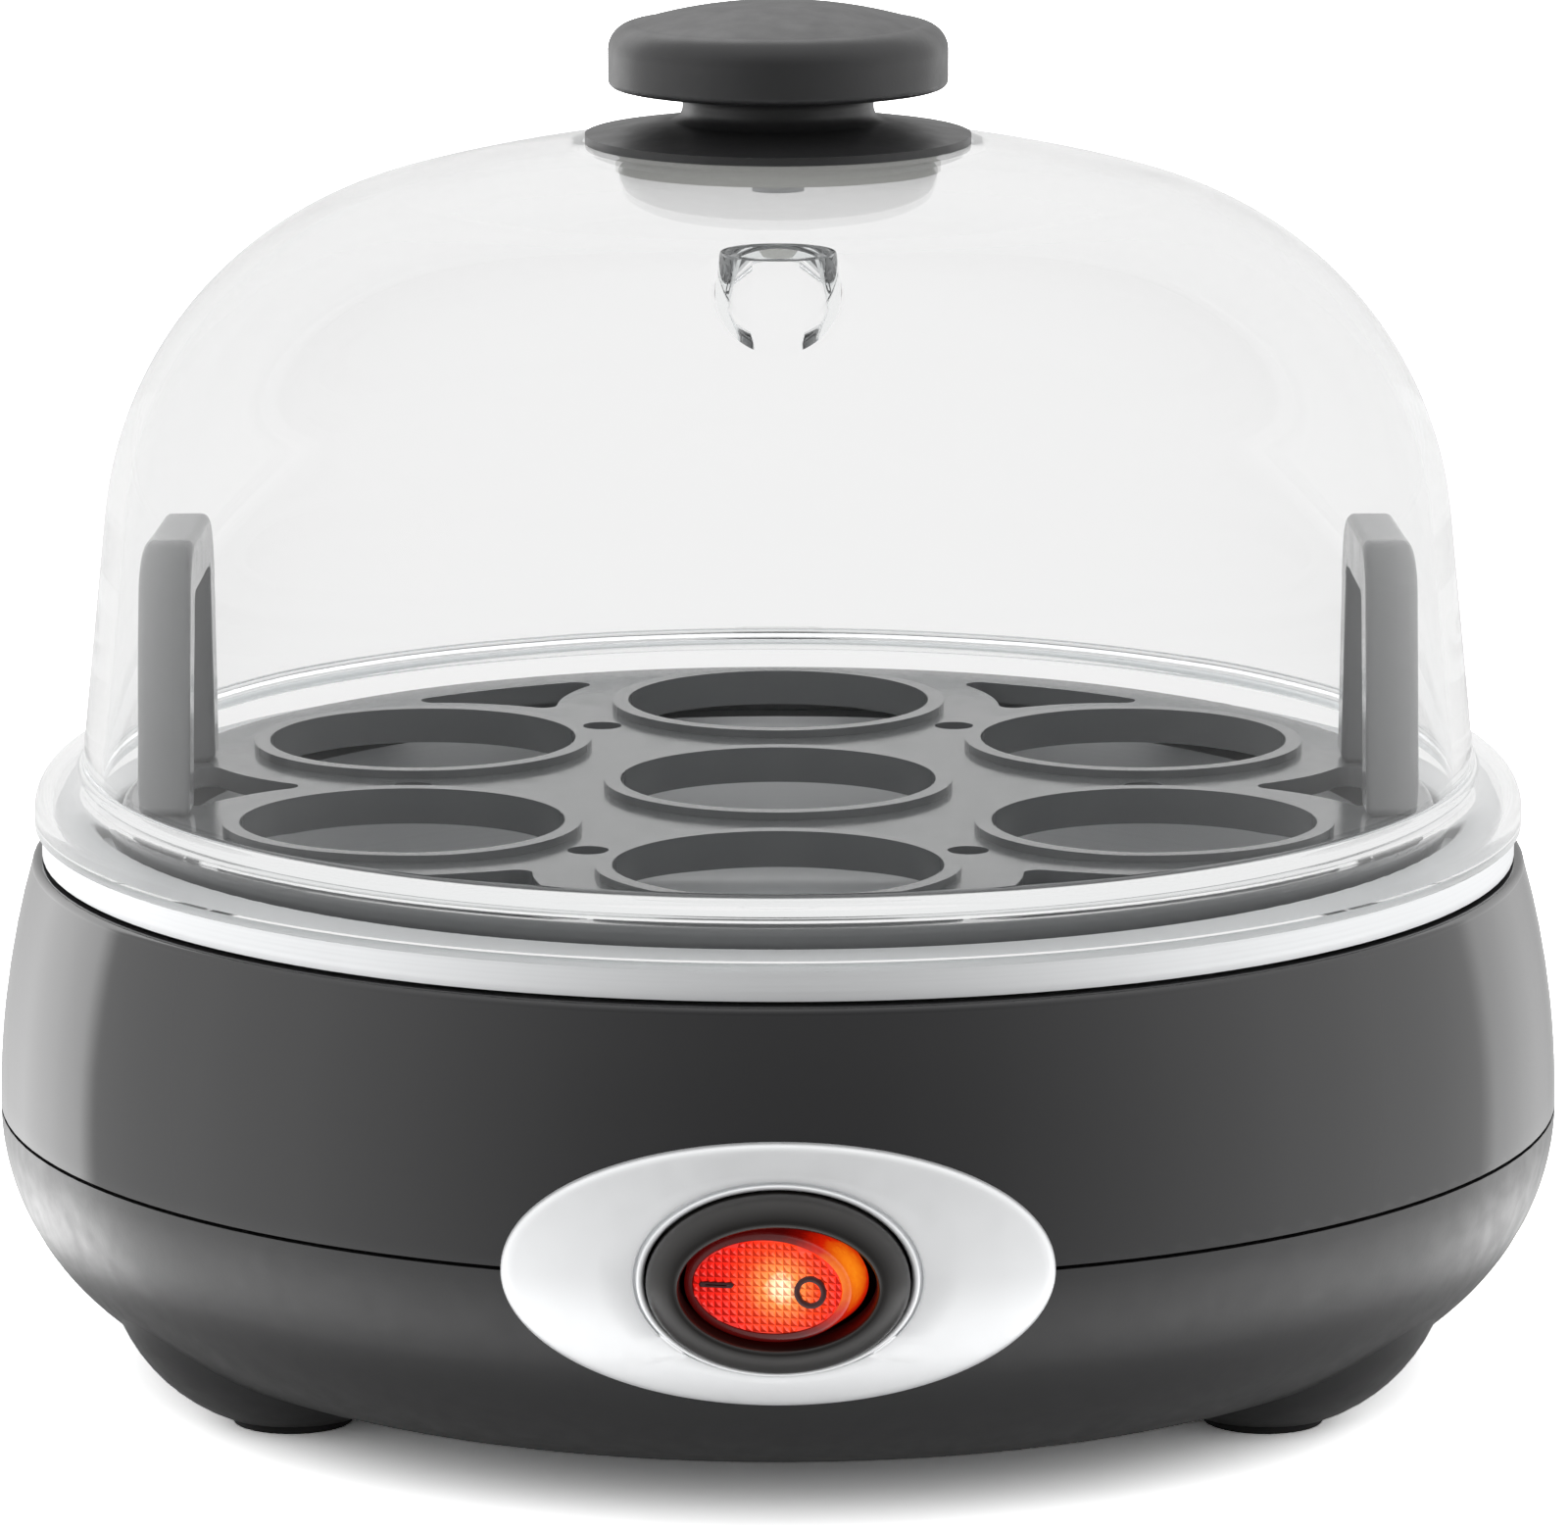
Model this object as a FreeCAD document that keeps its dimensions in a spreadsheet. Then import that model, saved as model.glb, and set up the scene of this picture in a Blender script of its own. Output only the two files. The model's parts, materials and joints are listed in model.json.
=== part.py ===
import FreeCAD, Part
import math
import os
import re
import Sketcher

# Egg cooker, in millimetres. +Z is up, the floor is Z = 0, the switch faces -Y and the cord gland +Y.

# Driving dimensions: alias, value, what it is
DIMENSIONS = [
    ("base_lift", 4.4, "underside of the lower housing above the floor"),
    ("belly_radius", 85, "largest radius of the housing, at its parting line"),
    ("lower_round", 25, "quarter round of the lower housing"),
    ("upper_height", 27.2, "upper housing above the parting line"),
    ("rim_inset", 4, "belly radius less the radius at the top of the housing"),
    ("edge_round", 0.8, "rounding of the housing's top edge"),
    ("shell_wall", 2.4, "wall of both housings"),
    ("seam_gap", 0.4, "reveal between the housings"),
    ("tongue_wall", 1.4, "wall of the lower housing's locating tongue"),
    ("tongue_height", 2.4, "tongue above the parting line"),
    ("tongue_clear", 0.2, "tongue to upper housing"),
    ("boss_inset", 8.9, "screw bosses inside the belly radius"),
    ("boss_radius", 3.6, "upper screw bosses"),
    ("boss_split", 5.4, "joint of the screw bosses below the parting line"),
    ("foot_sphere", 20, "radius of the rounded feet"),
    ("foot_flat", 8, "radius of the flat under each foot"),
    ("pad_proud", 1.2, "foot pad below its foot"),
    ("pad_sink", 1, "foot pad inside its foot"),
    ("pad_radius", 6.4, "radius of the foot pads"),
    ("fit_clear", 0.1, "small parts in their seats"),
    ("screw_radius", 1.5, "screw shanks"),
    ("screw_head", 2.8, "screw heads, radius"),
    ("screw_head_height", 2, "screw heads, height"),
    ("screw_bite", 9, "housing screws above the boss joint"),
    ("screw_seat", 3, "boss material under the screw heads"),
    ("gasket_wall", 0.8, "pan gasket"),
    ("sheet_wall", 0.8, "sheet of the heating pan"),
    ("pan_inset", 0.9, "pan rim inside the housing's top edge"),
    ("hem_gap", 0.4, "pan hem above the housing"),
    ("flange_width", 6.9, "flat rim of the pan that carries the lid"),
    ("flange_rise", 2.8, "flat rim above the tray ledge"),
    ("ledge_margin", 3.8, "tray ledge inside the tray's skirt"),
    ("dish_depth", 20, "water dish below the tray ledge"),
    ("dish_lean", 4, "lean of the dish wall"),
    ("dish_round", 5, "rounding at the foot of the dish wall"),
    ("dish_clear", 0.6, "dish wall to the housing shelf"),
    ("stud_radius", 2, "pan studs"),
    ("stud_length", 12, "pan studs below the ledge"),
    ("stud_inset", 3.2, "pan studs outside the shelf's inner edge"),
    ("washer_wall", 0.8, "stud washers"),
    ("nut_height", 3.2, "stud nuts"),
    ("nut_flats", 7, "stud nuts across flats"),
    ("tray_clear", 1.6, "tray skirt to the pan step"),
    ("tray_height", 5, "tray above its ledge"),
    ("tray_wall", 2.2, "tray top"),
    ("tray_skirt", 1.8, "tray skirt"),
    ("tray_round", 1.2, "rounded edge of the tray"),
    ("seat_share", 0.6425, "circle of the six outer egg seats, as a share of the tray"),
    ("seat_radius", 17.2, "egg seat openings"),
    ("seat_rim", 1.8, "wall of the egg seat rims"),
    ("seat_rise", 0.9, "egg seat rims above the tray"),
    ("seat_drop", 0.8, "egg seat rims below the tray top plate"),
    ("slot_share", 0.552, "steam slots to the seats beside them, as a share of the seat circle"),
    ("slot_edge", 6.2, "steam slots to the edge of the tray"),
    ("slot_round", 1.6, "corners of the steam slots"),
    ("steam_hole", 2.2, "round steam holes between the seats"),
    ("handle_inset", 3.6, "tray handles inside the edge of the tray"),
    ("handle_wall", 5.4, "tray handles, thickness"),
    ("handle_height", 28.6, "tray handles above the tray"),
    ("handle_foot", 19, "half width of a handle at its feet"),
    ("handle_top", 13.4, "half width of a handle at its top"),
    ("handle_leg", 6.2, "width of a handle's legs"),
    ("handle_corner", 5, "outer corners of a handle"),
    ("handle_edge", 1, "rounded edges of a handle"),
    ("tenon_wall", 3, "handle tenons, thickness"),
    ("tenon_width", 4, "handle tenons, width"),
    ("lip_clear", 0.3, "lid lip to the pan rim"),
    ("lip_wall", 0.5, "lid lip"),
    ("lip_drop", 0.8, "lid lip below the pan rim"),
    ("lid_wall", 2.2, "wall of the lid"),
    ("lid_band", 0.9, "upright edge of the lid above its seat"),
    ("shoulder_round", 4.9, "rounded shoulder of the lid"),
    ("shoulder_land", 0.4, "shoulder to the dome wall"),
    ("dome_wall_height", 27.1, "sloping wall of the dome"),
    ("dome_lean", 2.75, "lean of the dome wall"),
    ("dome_round", 41.2, "round between dome wall and crown"),
    ("crown_radius", 160, "crown of the dome"),
    ("knob_seat", 21.6, "flat under the knob, radius"),
    ("spout_circle", 52, "steam spout from the axis of the lid"),
    ("spout_drop", 4.6, "top of the spout below the flat under the knob"),
    ("spout_length", 12, "steam spout before it is trimmed to the dome"),
    ("spout_radius", 5.3, "steam spout at its top"),
    ("spout_flare", 1.7, "steam spout, extra radius at its foot"),
    ("spout_bore", 3.9, "steam opening"),
    ("knob_flange", 20.8, "knob flange radius"),
    ("knob_flange_edge", 0.9, "edge of the knob flange"),
    ("knob_flange_rise", 2.3, "knob flange at the neck"),
    ("knob_neck", 10.3, "knob neck radius"),
    ("knob_cap", 18.3, "knob cap radius"),
    ("knob_grip", 6, "underside of the knob cap above its seat"),
    ("knob_side", 4, "side of the knob cap"),
    ("knob_shoulder", 2.8, "shoulder of the knob cap"),
    ("knob_height", 15.1, "knob above its seat"),
    ("knob_fillet", 1.6, "fillets of the knob neck"),
    ("backing_radius", 17.4, "backing washer under the knob"),
    ("backing_wall", 2, "backing washer thickness"),
    ("knob_screw_length", 9, "knob screw above the flat of the lid"),
    ("bezel_width", 28.1, "half width of the switch bezel"),
    ("bezel_height", 14.05, "half height of the switch bezel"),
    ("bezel_proud", 1.2, "bezel face outside the housing"),
    ("bezel_lap", 3.3, "bezel edge beyond its opening in the housings"),
    ("bezel_clear", 0.3, "bezel neck in its opening"),
    ("bezel_depth", 8.6, "bezel neck behind the belly radius"),
    ("bezel_ear", 2, "bezel ears behind the housing wall"),
    ("frame_width", 13.3, "half width of the switch frame"),
    ("frame_height", 9.25, "half height of the switch frame"),
    ("frame_wall", 3.2, "switch frame flange, thickness"),
    ("frame_sink", 0.5, "flange seat behind the belly radius"),
    ("frame_bevel", 1.2, "rounded edge of the switch frame"),
    ("case_width", 10.9, "half width of the switch case"),
    ("case_height", 7.2, "half height of the switch case"),
    ("case_wall", 1, "switch case walls"),
    ("case_depth", 18, "switch case behind its flange"),
    ("rocker_width", 9.2, "half width of the rocker"),
    ("rocker_height", 5.6, "half height of the rocker"),
    ("rocker_draft", 1.4, "rocker narrower at its face"),
    ("rocker_crease", 3.9, "rocker face at its middle, from the pivot"),
    ("rocker_rise", 1.9, "rocker face at its ends above its middle"),
    ("rocker_reach", 5.8, "rocker ends from the pivot"),
    ("rocker_tilt", 12, "tilt of the rocker either way, degrees"),
    ("pivot_sink", 2, "rocker pivot behind the belly radius"),
    ("pivot_radius", 1.3, "rocker trunnions"),
    ("pivot_clear", 0.05, "trunnions in the case"),
    ("stem_radius", 1.7, "rocker stem"),
    ("stem_reach", 7, "rocker stem behind the pivot"),
    ("plunger_radius", 0.9, "spring plunger"),
    ("plunger_reach", 9.2, "plunger tip behind the pivot"),
    ("lever_sink", 12.4, "contact lever pivot behind the belly radius"),
    ("lever_half", 7.6, "half length of the contact lever"),
    ("lever_wall", 0.6, "contact lever sheet"),
    ("lever_lift", 0.3, "contact lever in front of its pivot"),
    ("lever_knuckle", 0.24, "round knuckle that the contact lever rocks on"),
    ("lever_tilt", 6, "tilt of the contact lever either way, degrees"),
    ("blade_pitch", 7, "switch blades, sideways pitch"),
    ("blade_wall", 0.8, "blades, thickness"),
    ("blade_width", 4.8, "blades, width"),
    ("blade_reach", 8, "blades outside their case"),
    ("contact_gap", 0.35, "lever to blade tips"),
    ("lamp_radius", 1.4, "pilot lamp"),
    ("lamp_length", 12, "pilot lamp, length"),
    ("sleeve_wall", 0.8, "wall of the spade connectors"),
    ("sleeve_length", 10, "spade connectors"),
    ("gland_radius", 6, "neck of the cord gland"),
    ("gland_flange", 8.4, "flanges of the cord gland"),
    ("gland_lip", 2, "flange thickness of the cord gland"),
    ("gland_collar", 4.6, "outer collar of the cord gland, radius"),
    ("gland_bore", 3.3, "bore for the cord"),
    ("gland_clear", 0.3, "gland neck in its opening"),
    ("gland_inner", 4.9, "inner flange behind the belly radius"),
    ("clamp_reach", 23, "cord clamp inside the belly radius"),
    ("clamp_post", 16, "clamp posts to either side"),
    ("post_radius", 3.4, "clamp posts"),
    ("clamp_wall", 3, "cord clamp bar"),
    ("heater_radius", 45, "heater plate"),
    ("heater_wall", 3, "heater plate thickness"),
    ("tube_circle", 34, "heating tube ring"),
    ("tube_radius", 3.3, "heating tube"),
    ("tube_gap", 80, "open angle of the heating tube at the rear, degrees"),
    ("cold_end", 6, "cold ends below the ring"),
    ("bead_radius", 2.6, "ceramic beads"),
    ("bead_length", 4, "ceramic beads, length"),
    ("pin_radius", 1.1, "heater pins"),
    ("pin_length", 7, "heater pins below the beads"),
    ("stat_radius", 8.4, "thermostat"),
    ("stat_height", 9, "thermostat height"),
    ("stat_wing", 13, "bracket screws from the thermostat axis"),
    ("strap_wall", 0.8, "sheet of brackets and clips"),
    ("strap_width", 8, "width of brackets and clips"),
    ("fuse_offset", 19, "thermal fuse to the right of the axis"),
    ("fuse_ahead", 9, "middle of the thermal fuse ahead of the axis"),
    ("clip_reach", 6.8, "clip screw from the thermal fuse"),
    ("fuse_radius", 2, "thermal fuse"),
    ("fuse_length", 12, "thermal fuse length"),
    ("fuse_sleeve_length", 20, "insulating sleeve of the fuse"),
    ("fuse_sleeve_wall", 0.7, "insulating sleeve, wall"),
    ("block_length", 26, "terminal block"),
    ("block_width", 12, "terminal block, width"),
    ("block_height", 10, "terminal block, height"),
    ("block_x", -38, "terminal block, to the right"),
    ("block_y", 20, "terminal block, to the rear"),
    ("lead_radius", 1, "leads"),
]

FOOT_ANGLES = (210, 330, 90)
BOSS_ANGLES = (45, 135, 186, 354)
STUD_ANGLES = (60, 180, 300)
SEAT_ANGLES = (270, 330, 30, 90, 150, 210)
SLOT_ANGLES = (0, 60, 120, 180, 240, 300)

doc = FreeCAD.newDocument("egg_cooker")
dims = doc.addObject("Spreadsheet::Sheet", "dims")
for row, (alias, value, note) in enumerate(DIMENSIONS, start=1):
    dims.set(f"A{row}", note)
    dims.set(f"B{row}", str(value))
    dims.setAlias(f"B{row}", alias)
doc.recompute()

# Levels and radii worked out from the driving dimensions
PARTING = "(base_lift + lower_round)"
HOUSING_TOP = f"({PARTING} + upper_height)"
SHELF = f"({HOUSING_TOP} - shell_wall)"
LEDGE = f"({HOUSING_TOP} + gasket_wall + sheet_wall)"
LID_SEAT = f"({LEDGE} + flange_rise)"
TRAY_TOP = f"({LEDGE} + tray_height)"
DISH_FLOOR = f"({LEDGE} - dish_depth)"
HEAT_FACE = f"({DISH_FLOOR} - sheet_wall)"
PLATE_FACE = f"({HEAT_FACE} - heater_wall)"
FLOOR_INSIDE = "(base_lift + shell_wall)"
FLAT_RADIUS = "(belly_radius - lower_round)"
RIM_RADIUS = "(belly_radius - rim_inset)"
BARREL = "((rim_inset^2 + upper_height^2) / (2 * rim_inset))"
BOSS_CIRCLE = "(belly_radius - boss_inset)"
BOSS_JOINT = f"({PARTING} - boss_split)"
PAN_RADIUS = f"({RIM_RADIUS} - pan_inset)"
STEP_RADIUS = f"({PAN_RADIUS} - flange_width)"
TRAY_RADIUS = f"({STEP_RADIUS} - tray_clear)"
SEAT_CIRCLE = f"({TRAY_RADIUS} * seat_share)"
DISH_RADIUS = f"({TRAY_RADIUS} - tray_skirt - ledge_margin)"
SHELF_INNER = f"({DISH_RADIUS} + sheet_wall + dish_clear)"
STUD_CIRCLE = f"({SHELF_INNER} + stud_inset)"
LID_RADIUS = f"({PAN_RADIUS} + lip_clear + lip_wall)"
DOME_FOOT = f"({LID_SEAT} + lid_band + shoulder_round)"
DOME_RADIUS = f"({LID_RADIUS} - shoulder_round - shoulder_land)"
WALL_RUN = "sqrt(dome_lean^2 + dome_wall_height^2)"
ROUND_ACROSS = (f"({DOME_RADIUS} - dome_lean"
                f" - dome_round * dome_wall_height / {WALL_RUN})")
ROUND_UP = (f"({DOME_FOOT} + dome_wall_height"
            f" - dome_round * dome_lean / {WALL_RUN})")
CROWN_UP = f"({ROUND_UP} - sqrt((crown_radius - dome_round)^2 - {ROUND_ACROSS}^2))"
LID_TOP = f"({CROWN_UP} + sqrt(crown_radius^2 - knob_seat^2))"
HANDLE_ACROSS = f"({TRAY_RADIUS} - handle_inset - handle_wall)"
FOOT_CENTRE = "(pad_proud + sqrt(foot_sphere^2 - foot_flat^2))"
SWITCH_SEAT = "(belly_radius - frame_sink)"
PIVOT = "(belly_radius - pivot_sink)"
LEVER_PIVOT = "(belly_radius - lever_sink)"
CASE_BACK = f"({SWITCH_SEAT} - case_depth)"
TUBE_LEVEL = f"({PLATE_FACE} - tube_radius - fit_clear)"
STAT_FOOT = f"({PLATE_FACE} - stat_height)"
CLAMP_ACROSS = "(belly_radius - clamp_reach)"
CORD_UNDER = f"({PARTING} - gland_bore)"
POST_TOP = f"({PARTING} - 0.6 * gland_bore)"
FUSE_LEVEL = f"({PLATE_FACE} - fuse_radius - fuse_sleeve_wall - 2 * fit_clear)"

ALONG = {
    "z": FreeCAD.Rotation(),
    "x": FreeCAD.Rotation(FreeCAD.Vector(0, 1, 0), 90),
    "y": FreeCAD.Rotation(FreeCAD.Vector(1, 0, 0), -90),
    "-y": FreeCAD.Rotation(FreeCAD.Vector(1, 0, 0), 90),
    "-z": FreeCAD.Rotation(FreeCAD.Vector(1, 0, 0), 180),
}
ALIASES = re.compile(r"\b(" + "|".join(alias for alias, value, note in DIMENSIONS) + r")\b")
pieces = []


def linked(expression):
    """Expression with each alias pointed at the sheet."""
    return ALIASES.sub(r"dims.\1", str(expression))


def size(expression):
    """Number that an expression of the sheet's aliases stands for."""
    return float(dims.evalExpression(str(expression)))


def polar(radius, angle):
    """Place on a circle about the axis, as two expressions."""
    return f"{radius} * cos({angle})", f"{radius} * sin({angle})"


def bind(thing, **sizes):
    """Ties properties of an object to expressions of the sheet."""
    for name, expression in sizes.items():
        thing.setExpression(name, linked(expression))
    return thing


def place(thing, at, along="z"):
    """Ties an object's position to the sheet and sets which way its own Z points."""
    thing.Placement = FreeCAD.Placement(FreeCAD.Vector(), ALONG[along])
    for axis, expression in zip("xyz", at):
        if str(expression) != "0":
            thing.setExpression(f"Placement.Base.{axis}", linked(expression))
    return thing


def piece(label, thing):
    """Names a finished sub-part."""
    thing.Label = label
    pieces.append(thing)
    return thing


def cylinder(radius, height, at=(0, 0, 0), along="z"):
    thing = bind(doc.addObject("Part::Cylinder", "rod"), Radius=radius, Height=height)
    return place(thing, at, along)


def cone(radius1, radius2, height, at=(0, 0, 0), along="z"):
    thing = doc.addObject("Part::Cone", "taper")
    return place(bind(thing, Radius1=radius1, Radius2=radius2, Height=height), at, along)


def ball(radius, at):
    return place(bind(doc.addObject("Part::Sphere", "ball"), Radius=radius), at)


def block(low, high):
    """Box between two corners, each given as three expressions."""
    thing = doc.addObject("Part::Box", "block")
    spans = [f"({b}) - ({a})" for a, b in zip(low, high)]
    return place(bind(thing, Length=spans[0], Width=spans[1], Height=spans[2]), low)


def oval(half_width, half_height, front, back):
    """Oval prism along Y about the level of the parting line, from Y = -front to Y = -back."""
    edge = bind(doc.addObject("Part::Ellipse", "oval"), MajorRadius=half_width, MinorRadius=half_height)
    place(edge, (0, f"-({front})", PARTING), "-y")
    prism = doc.addObject("Part::Extrusion", "oval_prism")
    prism.Base = edge
    prism.DirMode = "Custom"
    prism.Dir = FreeCAD.Vector(0, 1, 0)
    prism.Solid = True
    return bind(prism, LengthFwd=f"({front}) - ({back})")


def fuse(*things):
    joined = doc.addObject("Part::MultiFuse", "joined")
    joined.Shapes = list(things)
    return joined


def common(*things):
    shared = doc.addObject("Part::MultiCommon", "shared")
    shared.Shapes = list(things)
    return shared


def cut(base, *tools):
    """Base less each tool in turn."""
    for tool in tools:
        left = doc.addObject("Part::Cut", "trimmed")
        left.Base = base
        left.Tool = tool
        base = left
    return base


def group(*things):
    """Several separate solids in one sub-part."""
    gathered = doc.addObject("Part::Compound", "group")
    gathered.Links = list(things)
    return gathered


def origin_plane(body, role):
    return [plane for plane in body.Origin.OriginFeatures if plane.Role == role][0]


def pin(sketch, kind, axis, curve, end, expression):
    """Ties one coordinate of a sketch point to the sheet."""
    if str(expression) == "0":
        sketch.addConstraint(Sketcher.Constraint("PointOnObject", curve, end, axis))
        return
    start = Sketcher.Constraint(kind, -1, 1, curve, end, size(expression))
    index = sketch.addConstraint(start)
    sketch.setExpression(f"Constraints[{index}]", linked(expression))


def outline(body, role, points):
    """Closed sketch on an origin plane of its body. A point is (across, up), or (across, up, turn, radius)
    where the run to the next point is an arc that turns left or right."""
    sketch = body.newObject("Sketcher::SketchObject", body.Name + "_outline")
    sketch.AttachmentSupport = [(origin_plane(body, role), "")]
    sketch.MapMode = "FlatFace"
    spots = [FreeCAD.Vector(size(point[0]), size(point[1]), 0) for point in points]
    runs = []
    for index, point in enumerate(points):
        start, end = spots[index], spots[(index + 1) % len(points)]
        if len(point) == 2:
            runs.append((sketch.addGeometry(Part.LineSegment(start, end)), 1, 2))
            continue
        radius = size(point[3])
        chord = end - start
        bulge = radius - math.sqrt(max(radius**2 - (chord.Length / 2) ** 2, 0))
        side = FreeCAD.Vector(chord.y, -chord.x, 0).normalize()
        side *= bulge if point[2] == "left" else -bulge
        curve = sketch.addGeometry(Part.Arc(start, (start + end) / 2 + side, end))
        swapped = (sketch.getPoint(curve, 1) - start).Length > (sketch.getPoint(curve, 2) - start).Length
        runs.append((curve, 2, 1) if swapped else (curve, 1, 2))
    for index, (curve, first, last) in enumerate(runs):
        following, next_first, _ = runs[(index + 1) % len(runs)]
        sketch.addConstraint(Sketcher.Constraint("Coincident", curve, last, following, next_first))
        pin(sketch, "DistanceX", -2, curve, first, points[index][0])
        pin(sketch, "DistanceY", -1, curve, first, points[index][1])
        if len(points[index]) == 4:
            radius = points[index][3]
            number = sketch.addConstraint(Sketcher.Constraint("Radius", curve, size(radius)))
            sketch.setExpression(f"Constraints[{number}]", linked(radius))
    return sketch


def turned(name, points):
    """Body turned about the Z axis from an outline of radius and height."""
    body = doc.addObject("PartDesign::Body", name)
    sketch = outline(body, "XZ_Plane", points)
    solid = body.newObject("PartDesign::Revolution", name + "_turn")
    solid.Profile = sketch
    solid.ReferenceAxis = (sketch, ["V_Axis"])
    solid.Angle = 360
    return body


def padded(name, role, points, length):
    """Body padded to both sides of one of its origin planes."""
    body = doc.addObject("PartDesign::Body", name)
    sketch = outline(body, role, points)
    solid = body.newObject("PartDesign::Pad", name + "_pad")
    solid.Profile = sketch
    solid.SideType = "Symmetric"
    bind(solid, Length=length)
    return body


def rounded(body, radius):
    """Rounds every edge of a body."""
    doc.recompute()
    solid = body.Tip
    fillet = body.newObject("PartDesign::Fillet", body.Name + "_round")
    fillet.Base = (solid, [""])
    fillet.UseAllEdges = True
    bind(fillet, Radius=radius)
    body.Tip = fillet
    return body


def screw(at, length, along="z"):
    """Round-headed screw whose head's flat face is at the given place."""
    head = cylinder("screw_head", "screw_head_height", at, {"z": "-z", "-z": "z"}[along])
    return fuse(head, cylinder("screw_radius", length, at, along))


def skin_radius(offset, rise):
    """Radius of the upper housing's outer face, moved outwards, at a height above the parting line."""
    return f"(belly_radius - {BARREL} + sqrt(({BARREL} + {offset})^2 - ({rise})^2))"


def housing_skin(name, offset):
    """Solid of the whole housing's outer shape, moved outwards by an offset."""
    return turned(name, [
        (0, f"base_lift - {offset}"),
        (FLAT_RADIUS, f"base_lift - {offset}", "left", f"lower_round + {offset}"),
        (f"belly_radius + {offset}", PARTING, "left", f"{BARREL} + {offset}"),
        (skin_radius(offset, "upper_height"), HOUSING_TOP),
        (0, HOUSING_TOP),
    ])


def bezel_opening():
    """Oval opening that the two housings leave for the switch bezel."""
    return oval("bezel_width - bezel_lap + bezel_clear",
                "bezel_height - bezel_lap + bezel_clear",
                "belly_radius + lower_round", FLAT_RADIUS)


def gland_opening():
    """Round opening that the two housings leave for the cord gland."""
    return cylinder("gland_radius + gland_clear", "2 * lower_round",
                    (0, FLAT_RADIUS, PARTING), "y")


def upper_housing():
    foot = f"{PARTING} + seam_gap / 2"
    crest = "upper_height - edge_round"
    shell = turned("upper_shell", [
        ("belly_radius", foot, "left", BARREL),
        (skin_radius("0", crest), f"{PARTING} + {crest}", "left", "edge_round"),
        (f"{skin_radius('0', crest)} - edge_round", HOUSING_TOP),
        (SHELF_INNER, HOUSING_TOP),
        (SHELF_INNER, SHELF),
        (skin_radius("-shell_wall", f"{SHELF} - {PARTING}"), SHELF, "right", f"{BARREL} - shell_wall"),
        ("belly_radius - shell_wall", foot),
    ])
    bosses = []
    holes = [bezel_opening(), gland_opening()]
    for angle in BOSS_ANGLES:
        spot = polar(BOSS_CIRCLE, angle)
        bosses.append(cylinder("boss_radius", f"{SHELF} - {BOSS_JOINT}", (*spot, BOSS_JOINT)))
        holes.append(cylinder("screw_radius + fit_clear / 2", "screw_bite + pad_sink",
                              (*spot, BOSS_JOINT)))
    for angle in STUD_ANGLES:
        spot = polar(STUD_CIRCLE, angle)
        holes.append(cylinder("stud_radius + fit_clear", "2 * shell_wall",
                              (*spot, f"{SHELF} - shell_wall / 2")))
    return piece("upper_housing", cut(fuse(shell, *bosses), *holes))


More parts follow.
